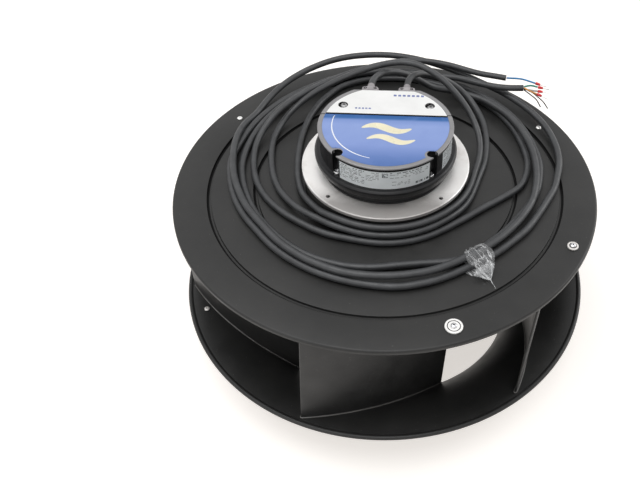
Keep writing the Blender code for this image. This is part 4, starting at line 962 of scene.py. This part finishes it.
def make_blades():
    floor = shroud_line(0.0)
    under = PLATE_TOP - PLATE_THICK
    edge = PLATE_TOP - PLATE_EDGE_HEIGHT
    inside = PLATE_RADIUS - PLATE_THICK
    ceiling = [(PLATE_HOLE_RADIUS, under)]
    ceiling += [point[:2] for point in groove_points(under, GROOVE_FLARE, 0.0)]
    ceiling += [(inside - 0.0006, under), (inside - 0.0004, edge), (PLATE_RADIUS + 0.002, edge)]
    plan = [(x, y, height_on(floor, sqrt(x * x + y * y)), height_on(ceiling, sqrt(x * x + y * y)))
            for x, y in blade_outline()]
    levels = 12
    seam_lift = 0.0004
    for number in range(BLADE_COUNT):
        sections = [[blade_point(x, y, low + (high - low) * level / levels, number)
                     for x, y, low, high in plan] for level in range(levels + 1)]
        seam = [blade_point(x, y, low + seam_lift, number) for x, y, low, high in plan + plan[:1]]
        # the bead along the foot gets the lighter grey: a painted highlight of the seam
        bead = recolour(loft(tube_sections(seam, 0.0009, 8), False))
        wheel_piece(f"blade_{number + 1}", [loft(sections, nose=3), bead],
                    look=(LOOKS["black_paint"], SEAM_HIGHLIGHT))


def make_rotor():
    inner = ROTOR_RADIUS - ROTOR_WALL
    low = ROTOR_BOTTOM
    floor_top = low + ROTOR_FLOOR
    boss_top = floor_top + ROTOR_BOSS_HEIGHT
    collar_low = ROTOR_COLLAR_TOP - ROTOR_COLLAR_THICK
    outline = [(ROTOR_RADIUS, ROTOR_TOP, 0.0006), (ROTOR_RADIUS, ROTOR_COLLAR_TOP, 0.0004),
               (ROTOR_COLLAR_RADIUS, ROTOR_COLLAR_TOP, 0.0005),
               (ROTOR_COLLAR_RADIUS, collar_low, 0.0010), (ROTOR_RADIUS, collar_low, 0.0025),
               (ROTOR_RADIUS, low, ROTOR_ROUND), (0.060, low, 0.0010),
               (0.0585, low + 0.0015, 0.0010), (0.030, low + 0.0015, 0.0010),
               (0.0285, low, 0.0010), (SHAFT_BORE, low, 0.0005), (SHAFT_BORE, boss_top),
               (ROTOR_BOSS_RADIUS, boss_top, 0.0008), (ROTOR_BOSS_RADIUS, floor_top, 0.0015),
               (inner, floor_top, 0.0015), (inner, ROTOR_TOP, 0.0006)]
    wheel_piece("rotor_housing", turned(rounded(outline, True, 5), 144))


# The balance washers and rivets keep their CAD places: each is rebuilt on its node's box

def node_centre(node):
    low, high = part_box(node)
    return (low[0] + high[0]) / 2, (low[1] + high[1]) / 2, low[2], high[2]


def make_balance_weight(number, outer, ring):
    """Washer with a turned ring groove at a share of its radius; painted shade makes the groove
    near-black.
    """
    node = f"balance_weight_{number}"
    x, y, low, high = node_centre(node)
    bore = 0.0024
    groove = outer * ring
    outline = [(bore, low), (outer, low, 0.0002), (outer, high, 0.0004),
               (groove + 0.0004, high, 0.0001), (groove + 0.0003, high - 0.0006, 0.0001),
               (groove - 0.0003, high - 0.0006, 0.0001), (groove - 0.0004, high, 0.0001),
               (bore, high, 0.0002)]
    mesh = recolour(turned(rounded(outline), 48), lambda centre, normal: (
        abs(centre.xy.length - groove) < 0.0005 and centre.z < high - 0.0001))
    wheel_piece(node, moved(mesh, x, y), "machined_aluminium",
                (LOOKS["machined_aluminium"], SHADE_BLACK))


def make_rivet(node, slot):
    """Domed head with a dimple where the mandrel broke off; painted shade makes the dimple
    near-black.
    """
    x, y, low, high = node_centre(node)
    head = 0.003
    base = high - 0.0018
    outline = [(0, high - 0.0009), (0.00075, high - 0.0009, 0.0002),
               (0.0009, high - 0.0001, 0.0002), (head * 0.62, high - 0.0004, 0.001),
               (head, base + 0.0005, 0.0006), (head, base, 0.0002), (0.0016, base),
               (0.0016, low), (0, low)]
    mesh = recolour(turned(rounded(outline, False), 32, False), lambda centre, normal: (
        centre.z > base and centre.xy.length < 0.0008))
    wheel_piece(node, moved(mesh, x, y), slot, (LOOKS[slot], SHADE_BLACK))


make_back_plate()
make_shroud()
make_blades()
make_rotor()
for number, outer, ring in ((1, 0.0085, 0.70), (2, 0.0056, 0.60)):
    make_balance_weight(number, outer, ring)
    make_rivet(f"weight_rivet_{number}", "steel")
for node in ("plate_rivet_1", "plate_rivet_2", "shroud_rivet"):
    make_rivet(node, "machined_aluminium")


# Stator

def make_flange():
    """Faced aluminium disc with a chamfered rim and four tapped holes."""
    rim_low = FLANGE_TOP - FLANGE_RIM_THICK
    step = FLANGE_BOTTOM + FLANGE_SOCKET_DEPTH
    outline = [(FLANGE_BORE_RADIUS, step), (FLANGE_SOCKET_RADIUS, step),
               (FLANGE_SOCKET_RADIUS, FLANGE_BOTTOM, 0.0004),
               (FLANGE_CORE_RADIUS, FLANGE_BOTTOM, 0.0008), (FLANGE_CORE_RADIUS, rim_low, 0.0006),
               (FLANGE_RADIUS, rim_low, 0.0005), (FLANGE_RADIUS, FLANGE_TOP - 0.0006, 0.0003),
               (FLANGE_RADIUS - 0.0010, FLANGE_TOP, 0.0003), (FLANGE_BORE_RADIUS, FLANGE_TOP)]
    flange = stand_in("stator_flange", turned(rounded(outline)), "machined_aluminium",
                      FLANGE_ALUMINIUM)
    places = [polar(FLANGE_HOLE_PITCH_RADIUS, pi / 4 + number * pi / 2) for number in range(4)]
    cut_with(flange, [prism(circle(FLANGE_HOLE_RADIUS, place, 24), rim_low - 0.002,
                            FLANGE_TOP + 0.002) for place in places])
    mouth = FLANGE_HOLE_RADIUS - 0.00002
    thread = FLANGE_HOLE_RADIUS - 0.00035
    # painted shade: the bores of the four tapped holes are lined with near-black
    piece("flange_threads", [moved(turned([
        (mouth, FLANGE_TOP - 0.0003), (thread, FLANGE_TOP - 0.0007), (thread, rim_low + 0.0004),
        (mouth, rim_low + 0.0001)], 24), *place) for place in places], "steel", SHADE_BLACK)


def pockets(low, high):
    """Cutters for the two screw pockets."""
    return [prism(circle(POCKET_RADIUS, polar(POCKET_PITCH_RADIUS, azimuth), 40), low, high)
            for azimuth in POCKET_AZIMUTHS]


def make_housing():
    """Moulded cup: neck, stepped collar, wall with open screw pockets and a flat back."""
    slope = COLLAR_SLOPE
    shelf = COLLAR_HIGH + slope
    outline = [(0, HOLLOW_FLOOR), (HOLLOW_RADIUS, HOLLOW_FLOOR, 0.001),
               (HOLLOW_RADIUS, WALL_TOP, 0.0003), (WALL_RADIUS, WALL_TOP, 0.0004),
               (WALL_RADIUS, shelf, 0.0006), (COLLAR_RADIUS - slope, shelf, 0.0006),
               (COLLAR_RADIUS, COLLAR_HIGH, 0.0005),
               (COLLAR_RADIUS, COLLAR_LOW + 0.0042, 0.0003),
               (COLLAR_RADIUS - 0.0009, COLLAR_LOW + 0.0036, 0.0003),
               (COLLAR_RADIUS - 0.0009, COLLAR_LOW, 0.0006),
               (NECK_RADIUS, COLLAR_LOW, 0.0006), (NECK_RADIUS, HOUSING_LOW + 0.0022, 0.0004),
               (NECK_RADIUS + 0.0012, HOUSING_LOW + 0.0018, 0.0003),
               (NECK_RADIUS + 0.0012, HOUSING_LOW, 0.0003), (0, HOUSING_LOW)]
    housing = stand_in("electronics_housing", turned(rounded(outline, False), closed=False),
                       "black_plastic")
    reach = COLLAR_RADIUS + 0.010
    above = WALL_TOP + 0.010
    floor = WALL_TOP - POCKET_DEPTH
    cut_with(housing, [slab(-reach, HOUSING_FLAT, reach, reach, shelf, above)]
             + pockets(floor, above))
    head = rounded([(0, floor + 0.0016), (0.0016, floor + 0.0016, 0.0002),
                    (0.0018, floor + 0.0030, 0.0002), (0.0036, floor + 0.0028, 0.0005),
                    (0.0040, floor + 0.0003, 0.0003), (0, floor + 0.0001)], False)
    piece("pocket_screws", [moved(turned(head, 24, False),
                                  *polar(POCKET_PITCH_RADIUS - 0.0002, azimuth))
                            for azimuth in POCKET_AZIMUTHS], "steel")


def notched_disc(radius, clearance, seam, above_seam, flat=None):
    """Plan outline on one side of the seam, with notches round the pockets."""
    outline = []
    steps = 720
    notch = POCKET_RADIUS + clearance
    centres = [Vector(polar(POCKET_PITCH_RADIUS, azimuth)) for azimuth in POCKET_AZIMUTHS]
    for i in range(steps):
        azimuth = pi / 2 + 2 * pi * i / steps
        direction = Vector(polar(1.0, azimuth))
        reach = radius
        for centre in centres:
            along = direction.dot(centre)
            across = centre.length_squared - along * along
            if along > 0 and across < notch * notch:
                reach = min(reach, along - sqrt(notch * notch - across))
        point = direction * reach
        if above_seam:
            if point.y < seam:
                continue
            if flat is not None and point.y > flat:
                point = point * (flat / point.y)
        elif point.y > seam:
            continue
        outline.append(tuple(point))
    end_x = sqrt(radius * radius - seam * seam)
    return order_by_angle(outline + [(end_x, seam), (-end_x, seam)])


def order_by_angle(points):
    """The points in order round their middle."""
    middle = sum((Vector(p) for p in points), Vector((0, 0))) / len(points)
    return sorted(points, key=lambda p: atan2(p[1] - middle.y, p[0] - middle.x))


COVER_REACH = COVER_RADIUS + 0.010
COVER_CUT = (COVER_LOW - 0.010, COVER_TOP + 0.010)
COVER_FOOT_RADIUS = COVER_RADIUS - 0.0012
COVER_RECESS_RADIUS = 0.0644
COVER_RECESS_FLOOR = COVER_TOP - 0.0004
LABEL_RADIUS = 0.0642
LABEL_LEVELS = (COVER_RECESS_FLOOR, COVER_TOP - 0.0002)


def make_cover(node, cutters, chosen):
    """Round lid, cut to its part: a rim round a shallow label recess, on a narrower foot. The
    faces that chosen picks get painted shade.
    """
    rim_low = COVER_TOP - COVER_RIM
    outline = [(0, COVER_RECESS_FLOOR), (COVER_RECESS_RADIUS, COVER_RECESS_FLOOR, 0.0002),
               (COVER_RECESS_RADIUS + 0.0003, COVER_TOP, 0.0002),
               (COVER_RADIUS, COVER_TOP, 0.0008), (COVER_RADIUS, rim_low, 0.0003),
               (COVER_FOOT_RADIUS, rim_low - 0.0003, 0.0002),
               (COVER_FOOT_RADIUS, COVER_LOW, 0.0003), (0, COVER_LOW)]
    cover = stand_in(node, turned(rounded(outline, False, 5), closed=False), "cover",
                     (LOOKS["cover"], SHADE_BLACK))
    cut_with(cover, cutters)
    recolour(cover.data, chosen)


def make_front_cover():
    seam = COVER_SEAM - COVER_SEAM_WIDTH / 2
    # painted shade on the foot under the rim and on the face at the seam
    make_cover("front_cover", [slab(-COVER_REACH, seam, COVER_REACH, COVER_REACH, *COVER_CUT)]
               + pockets(*COVER_CUT),
               lambda centre, normal: centre.z < COVER_TOP - COVER_RIM or normal.y > 0.99)
    piece("front_label", prism(notched_disc(LABEL_RADIUS, 0.0012, seam - 0.0001, False),
                               *LABEL_LEVELS), "cover", LABEL_BLUE)


def make_terminal_cover():
    """Rear cover with its label and the sinks for two screws."""
    seam = COVER_SEAM + COVER_SEAM_WIDTH / 2
    cutters = [slab(-COVER_REACH, -COVER_REACH, COVER_REACH, seam, *COVER_CUT),
               slab(-COVER_REACH, HOUSING_FLAT, COVER_REACH, COVER_REACH, *COVER_CUT)]
    screws = [(side * SCREW_X, SCREW_Y) for side in (-1, 1)]
    for place in screws:
        cutters += [prism(circle(SCREW_SINK_RADIUS, place, 40), COVER_TOP - SCREW_SINK_DEPTH,
                          COVER_CUT[1]), prism(circle(0.0021, place, 24), *COVER_CUT)]

    # faces that get painted shade: the face at the seam and the inside of the screw sinks
    def painted_shade_faces(centre, normal):
        return normal.y < -0.99 or centre.z < COVER_TOP - 0.0006 and min(
            (centre.xy - Vector(place)).length for place in screws) < SCREW_SINK_RADIUS + 0.0002

    make_cover("terminal_cover", cutters, painted_shade_faces)
    outline = notched_disc(LABEL_RADIUS, 0.0012, seam + 0.0001, True, HOUSING_FLAT - 0.0009)
    label = piece("terminal_label", prism(outline, *LABEL_LEVELS), "cover", LABEL_WHITE)
    cut_with(label, [prism(circle(SCREW_SINK_RADIUS + 0.0002, place, 40), *COVER_CUT)
                     for place in screws])


def seam_strip(half, radius, low, high):
    """A strip along the seam, with its corners on a circle."""
    reach = sqrt(radius ** 2 - (COVER_SEAM + half) ** 2)
    return slab(-reach, COVER_SEAM - half, reach, COVER_SEAM + half, low, high)


def make_seam_shade():
    """Near-black strip that fills the seam between the two covers, under a thin lip: painted shade
    of the gap.
    """
    piece("seam_shade", [
        seam_strip(COVER_SEAM_WIDTH / 2 - 0.00005, COVER_FOOT_RADIUS, COVER_LOW + 0.0001,
                   COVER_TOP - 0.0002),
        seam_strip(0.0012, 0.0645, COVER_TOP - 0.00019, COVER_TOP - 0.00008)],
        "black_plastic", SHADE_BLACK)


def make_cover_screws():
    """Pan heads with a six-lobed recess."""
    seat = COVER_TOP - SCREW_SINK_DEPTH + GAP
    shank_end = seat - 0.0085
    head = rounded([(0, seat + 0.0018), (0.0024, seat + 0.0018, 0.0005),
                    (0.0036, seat + 0.0009, 0.0006), (0.0036, seat, 0.0002), (0.0018, seat),
                    (0.0018, shank_end), (0, shank_end)], False)
    turns = [2 * pi * i / 60 for i in range(60)]
    star = [polar(0.0014 + 0.00028 * cos(6 * turn), turn) for turn in turns]
    for number, side in ((1, -1), (2, 1)):
        screw = stand_in(f"terminal_screw_{number}", turned(head, 40, False), "steel",
                         (SCREW_STEEL, SHADE_BLACK))
        cut_with(screw, [prism(star, seat + 0.0007, seat + 0.004)])
        moved(screw.data, side * SCREW_X, SCREW_Y)


def wall_panel(radius, first, last, low, high, thick, steps):
    """A thin curved sheet on the wall, between two azimuths in degrees."""
    sections = []
    for i in range(steps + 1):
        turn = radians(first + (last - first) * i / steps)
        sections.append([(*polar(reach, turn), z) for reach, z in (
            (radius, low), (radius, high), (radius + thick, high), (radius + thick, low))])
    return loft(sections)


def word_rows(rng, length, rows, gap_chance=0.22):
    """Spans that stand for printed words, as (start, end) in metres for each row."""
    layout = []
    for row in range(rows):
        spans = []
        place = 0.0
        while place < length:
            word = rng.uniform(0.0014, 0.0052)
            if rng.random() > gap_chance:
                spans.append((place, min(length, place + word)))
            place += word + rng.uniform(0.0008, 0.0016)
        layout.append(spans)
    return layout


LABEL_BACK = WALL_RADIUS + 0.00005
LABEL_FACE = LABEL_BACK + 0.0002


def mark(azimuth, start, end, low, high):
    """A small printed bar on the wall, between two lengths along it from an azimuth."""
    base = radians(azimuth) * LABEL_FACE
    start, end = base + start, base + end
    steps = max(1, round((end - start) / 0.0012))
    return wall_panel(LABEL_FACE - 0.00002, start / LABEL_FACE * 180 / pi,
                      end / LABEL_FACE * 180 / pi, low, high, 0.00005, steps)


def printed_rows(rows, azimuth, top, pitch, heights, inset=0.0):
    """Marks for rows of words; heights are the marks' heights, taken in turn."""
    return [mark(azimuth, inset + start, inset + end, top - row * pitch,
                 top - row * pitch + heights[row % len(heights)])
            for row, spans in enumerate(rows) for start, end in spans]


def make_rating_labels():
    """Silver labels on the wall with rows of small marks."""
    thick = LABEL_FACE - LABEL_BACK
    piece("rating_label", wall_panel(LABEL_BACK, -129.0, -48.5, 0.2499, 0.2712, thick, 96),
          "cover", LABEL_SILVER)
    piece("side_label", wall_panel(LABEL_BACK, -31.5, -8.0, 0.2503, 0.2709, thick, 32), "cover",
          LABEL_SILVER)
    rng = random.Random(11)
    marks = printed_rows(word_rows(rng, 0.030, 9), -130.5, 0.2692, 0.0019,
                         (0.0008, 0.0005, 0.0005))
    marks += printed_rows(word_rows(rng, 0.013, 6), -104.0, 0.2692, 0.0019, (0.0005,))
    cells = 9
    size = 0.0056 / cells
    for i in range(cells):
        for j in range(cells):
            if i == 0 or j == 0 or rng.random() < 0.5:
                marks.append(mark(-90.5, i * size, (i + 1) * size, 0.2644 + j * size,
                                  0.2644 + (j + 1) * size))
    marks += printed_rows(word_rows(rng, 0.040, 4), -84.0, 0.2692, 0.0019,
                          (0.0009, 0.0005, 0.0005, 0.0005))
    marks += printed_rows(word_rows(rng, 0.018, 3), -84.0, 0.2585, 0.0020, (0.0005,), 0.002)
    for start, end in ((0.0, 0.0024), (0.0034, 0.0042), (0.0052, 0.0076), (0.0100, 0.0108),
                       (0.0120, 0.0150)):
        marks.append(mark(-62.0, start, end, 0.2520, 0.2546))
    piece("rating_marks", marks, "cover", INK_DARK)
    piece("side_marks", printed_rows(word_rows(rng, 0.022, 8, 0.1), -30.0, 0.2686, 0.0023,
                                     (0.0007,)), "cover", INK_DARK)


ART_LEVELS = (COVER_TOP - 0.00022, COVER_TOP - 0.00014)


def ribbon(points, widths):
    """A flat printed band of changing width along a plan line."""
    points = [Vector(p) for p in points]
    count = len(points)
    left = []
    right = []
    for i, point in enumerate(points):
        ahead = (points[min(i + 1, count - 1)] - points[max(i - 1, 0)]).normalized()
        side = Vector((-ahead.y, ahead.x)) * widths[i] / 2
        left.append(point + side)
        right.append(point - side)
    outline = left + right[::-1]
    total = 2 * count
    faces = [(first + i, first + i + 1, first + total - 2 - i, first + total - 1 - i)
             for i in range(count - 1) for first in (0, total)]
    faces += [(i, (i + 1) % total, total + (i + 1) % total, total + i) for i in range(total)]
    return mesh_from([(x, y, z) for z in ART_LEVELS for x, y in outline], faces)


def make_cover_art():
    """Generic printing: two broad airflow waves, a ring arc at the left and plain blocks."""
    waves = []
    shares = [i / 48 for i in range(49)]
    for start_x, end_x, height, width in ((-0.0240, 0.0260, -0.0060, 0.0100),
                                          (-0.0180, 0.0300, -0.0235, 0.0088)):
        waves.append(ribbon([(start_x + (end_x - start_x) * t, height + 0.0044 * sin(2 * pi * t))
                             for t in shares],
                            [width * (0.12 + 0.88 * sin(pi * t) ** 0.7) for t in shares]))
    piece("cover_waves", waves, "cover", INK_CREAM)
    shares = [i / 96 for i in range(97)]
    arc = [polar(0.0545, radians(-196 + 92 * t)) for t in shares]
    piece("cover_arc", ribbon([(x, min(y, COVER_SEAM - 0.004)) for x, y in arc],
                              [0.0013 * (0.35 + 0.65 * sin(pi * t) ** 0.5) for t in shares]),
          "cover", INK_WHITE)
    blocks = []
    for start_x, height, count, size in ((-0.0330, 0.0262, 5, 0.0022),
                                         (0.0060, 0.0500, 7, 0.0030)):
        for i in range(count):
            left = start_x + i * size * 1.6
            blocks.append(ribbon([(left, height), (left + size, height)], [size, size]))
    piece("cover_blocks", blocks, "cover", INK_BLUE)


def gland_section(y, width, height, x, z, square):
    """A rounded section across a strain relief; square runs from 0, oval, to 1, boxy."""
    power = 2.0 + 4.0 * square
    points = []
    for k in range(40):
        turn = 2 * pi * k / 40
        c, s = cos(turn), sin(turn)
        points.append((x + width / 2 * abs(c) ** (2 / power) * (1 if c >= 0 else -1), y,
                       z + height / 2 * abs(s) ** (2 / power) * (1 if s >= 0 else -1)))
    return points


def make_glands():
    """Moulded strain reliefs: a wide flared foot between two screws, a neck, a soft sleeve."""
    foot_y = HOUSING_FLAT + 0.0003
    lift = 0.0019
    # offset from the foot, width, height, share of the lift, squareness
    steps = ((0.0, 0.0184, 0.0190, 1.0, 0.9), (0.0060, 0.0184, 0.0190, 1.0, 0.9),
             (0.0066, 0.0178, 0.0184, 1.0, 0.8), (0.0085, 0.0152, 0.0164, 0.9, 0.5),
             (0.0108, 0.0122, 0.0134, 0.6, 0.3), (0.0130, 0.0100, 0.0106, 0.2, 0.1),
             (0.0145, 0.0092, 0.0092, 0.0, 0.0), (GLAND_LENGTH - 0.0002, 0.0088, 0.0088, 0.0, 0.0))
    head = rounded([(0, 0.0006), (0.0006, 0.0006, 0.0001), (0.0009, 0.0014, 0.0002),
                    (0.0017, 0.0013, 0.0004), (0.0018, 0, 0.0002), (0, 0)], False)
    for name, x, line, radius in (
            ("power_gland", -GLAND_X, power_line, POWER_CORD_RADIUS),
            ("control_gland", GLAND_X, control_line, CONTROL_CORD_RADIUS)):
        stand_in(name, loft([gland_section(foot_y + offset, width, height, x,
                                           GLAND_HEIGHT + lift * rise, square)
                             for offset, width, height, rise, square in steps]), "gland_grey")
        sleeve = even_points(line[:3], 0.0010)[:8]
        sizes = [radius + 0.0006 - 0.00006 * i for i in range(len(sleeve))]
        piece(f"{name}_sleeve", loft(tube_sections(sleeve, sizes, 24)), "gland_grey", turn=0)
        # painted shade: the two screw heads on each foot are near-black, as the shade of the holes
        # they sit in
        piece(f"{name}_screws", [moved(turned(head, 20, False), x + side * 0.0052,
                                       foot_y + 0.0036, GLAND_HEIGHT + lift + 0.0083)
                                 for side in (-1, 1)], "steel", SHADE_BLACK)


# Film tied round the bundle

OUTWARDS = Vector((*polar(1.0, TIE_AZIMUTH), 0))
ALONG = Vector((-OUTWARDS.y, OUTWARDS.x, 0))
UP = Vector((0, 0, 1))
TIE_CENTRE = Vector(ring_point(-57, 0.1652, 0.2081))


def between(table, value):
    """Values of a table of (place, first, second), read at a place between its rows."""
    for (x0, *low), (x1, *high) in zip(table, table[1:]):
        if value <= x1:
            break
    share = min(1.0, max(0.0, (value - x0) / (x1 - x0)))
    return [a + (b - a) * share for a, b in zip(low, high)]


def tie_band():
    """Crumpled film wrapped round the bundle."""
    # place outwards, middle and half width along the bundle
    shape = ((-0.0160, 0.0030, 0.0050), (-0.0115, 0.0038, 0.0098), (-0.0050, 0.0035, 0.0130),
             (0.0, 0.0022, 0.0152), (0.0060, 0.0018, 0.0138), (0.0130, 0.0008, 0.0092))
    rows = 30
    sides = 84
    sections = []
    for row in range(rows + 1):
        t = row / rows * 2 - 1
        ring = []
        for k in range(sides):
            turn = 2 * pi * k / sides
            c, s = cos(turn), sin(turn)
            reach = 0.0145 * c
            middle, half = between(shape, reach)
            point = TIE_CENTRE + OUTWARDS * reach + ALONG * (middle + half * t) + UP * 0.0077 * s
            folds = abs(noise.noise(Vector((t * 5.0, turn * 0.5, 3.0)))) * 2
            crumple = noise.noise(point * 300)
            edge = 0.0014 * noise.noise(Vector((turn * 1.6, t, 9.0))) * abs(t)
            point += (OUTWARDS * c + UP * s) * (0.0018 * folds + 0.0006 * crumple + 0.0003)
            point += ALONG * edge
            point.z = max(point.z, PLATE_TOP + 0.0006)
            ring.append(point)
        sections.append(ring)
    return loft(sections, False)


def tie_tail():
    """The film's ends, gathered outwards and twisted to a point."""
    root = TIE_CENTRE + OUTWARDS * 0.0095 + ALONG * 0.0016 - UP * 0.0016
    tip = TIE_CENTRE + OUTWARDS * 0.0325 - ALONG * 0.0010
    tip.z = PLATE_TOP + 0.0012
    sections = []
    steps = 30
    for i in range(steps + 1):
        t = i / steps
        gather = 1 - min(1.0, t * 1.75)
        half = 0.0100 * gather ** 0.8 + 0.0006
        high = 0.0052 * gather ** 0.9 + 0.0005
        c, s = cos(2.2 * t * t), sin(2.2 * t * t)
        ring = []
        for k in range(60):
            turn = 2 * pi * k / 60
            fold = 1 + 0.24 * sin(11 * turn + 3 * t) * (1 - 0.4 * t)
            a = half * cos(turn) * fold
            b = high * sin(turn) * fold
            spot = root.lerp(tip, t) + ALONG * (a * c - b * s * 0.5) + UP * (a * s * 0.25 + b * c)
            spot.z = max(spot.z, PLATE_TOP + 0.0005)
            ring.append(spot)
        sections.append(ring)
    return loft(sections)


def make_tie():
    """Crumpled clear film round the coil, with its twisted tail."""
    mesh = joined([tie_band(), tie_tail()])
    mesh.shade_smooth()
    tie = piece("film_tie", mesh, "clear_film", turn=0)
    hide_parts("coil_tie")
    return tie


make_flange()
make_housing()
make_front_cover()
make_terminal_cover()
make_seam_shade()
make_cover_screws()
make_rating_labels()
make_cover_art()
make_glands()
film_tie = make_tie()

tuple(POWER_ROUTE[0])
line_length(power_line)
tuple(CONTROL_ROUTE[0])
line_length(control_line)

# CAD nodes that keep their own shape
NODE_LOOKS = {
    "magnet_ring": "magnet", "shaft": "steel", "bearing_tube": "machined_aluminium",
    "bearing_lower": "steel", "bearing_upper": "steel", "stator_core": "lamination",
    "winding_lower": "winding", "winding_upper": "winding", "circuit_board": "board",
    "capacitor_1": "black_plastic", "capacitor_2": "black_plastic",
    **{f"plate_screw_{number}": "steel" for number in range(1, 7)},
}
for node, look in NODE_LOOKS.items():
    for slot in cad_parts[node].material_slots:
        slot.material = LOOKS[look]


# Floor, world and lamps

def make_floor():
    mesh = bpy.data.meshes.new("floor")
    reach = 6.0
    mesh.from_pydata([(-reach, -reach, 0), (reach, -reach, 0), (reach, reach, 0),
                      (-reach, reach, 0)], [], [(0, 1, 2, 3)])
    floor = bpy.data.objects.new("floor", mesh)
    bpy.context.scene.collection.objects.link(floor)
    look = Look("floor_white", (0.68, 0.67, 0.66), 0.6, specular=0.1)
    look.set("Emission Color", (1, 0.95, 0.90))
    look.set("Emission Strength", look.math('MULTIPLY', look.rays_seen(), 0.66))
    mesh.materials.append(look.mat)


def make_world():
    world = bpy.data.worlds.new("world")
    bpy.context.scene.world = world
    world.use_nodes = True
    nodes = Nodes(world.node_tree)
    background = nodes.tree.nodes["Background"].inputs
    nodes.feed(background["Color"], (1, 1, 1))
    nodes.feed(background["Strength"], nodes.spread(nodes.rays_seen(), 0.0, 1.0, 0.20, 1.0))


def make_lamp(name, place, target, size, power):
    data = bpy.data.lights.new(name, 'AREA')
    data.shape = 'RECTANGLE'
    data.size, data.size_y = size
    data.energy = power
    lamp = bpy.data.objects.new(name, data)
    lamp.location = place
    direction = Vector(target) - Vector(place)
    lamp.rotation_euler = direction.to_track_quat('-Z', 'Y').to_euler()
    bpy.context.scene.collection.objects.link(lamp)


make_floor()
make_world()
make_lamp("top_lamp", (-0.4, -0.3, 2.1), (0, 0, 0.1), (2.4, 1.5), 33)
make_lamp("side_lamp", (1.9, 0.9, 1.3), (0, 0, 0.15), (1.2, 1.4), 17)
make_lamp("front_lamp", (-1.5, -1.9, 1.0), (0, 0, 0.1), (1.2, 0.9), 8)
bpy.context.scene.view_settings.view_transform = 'Standard'
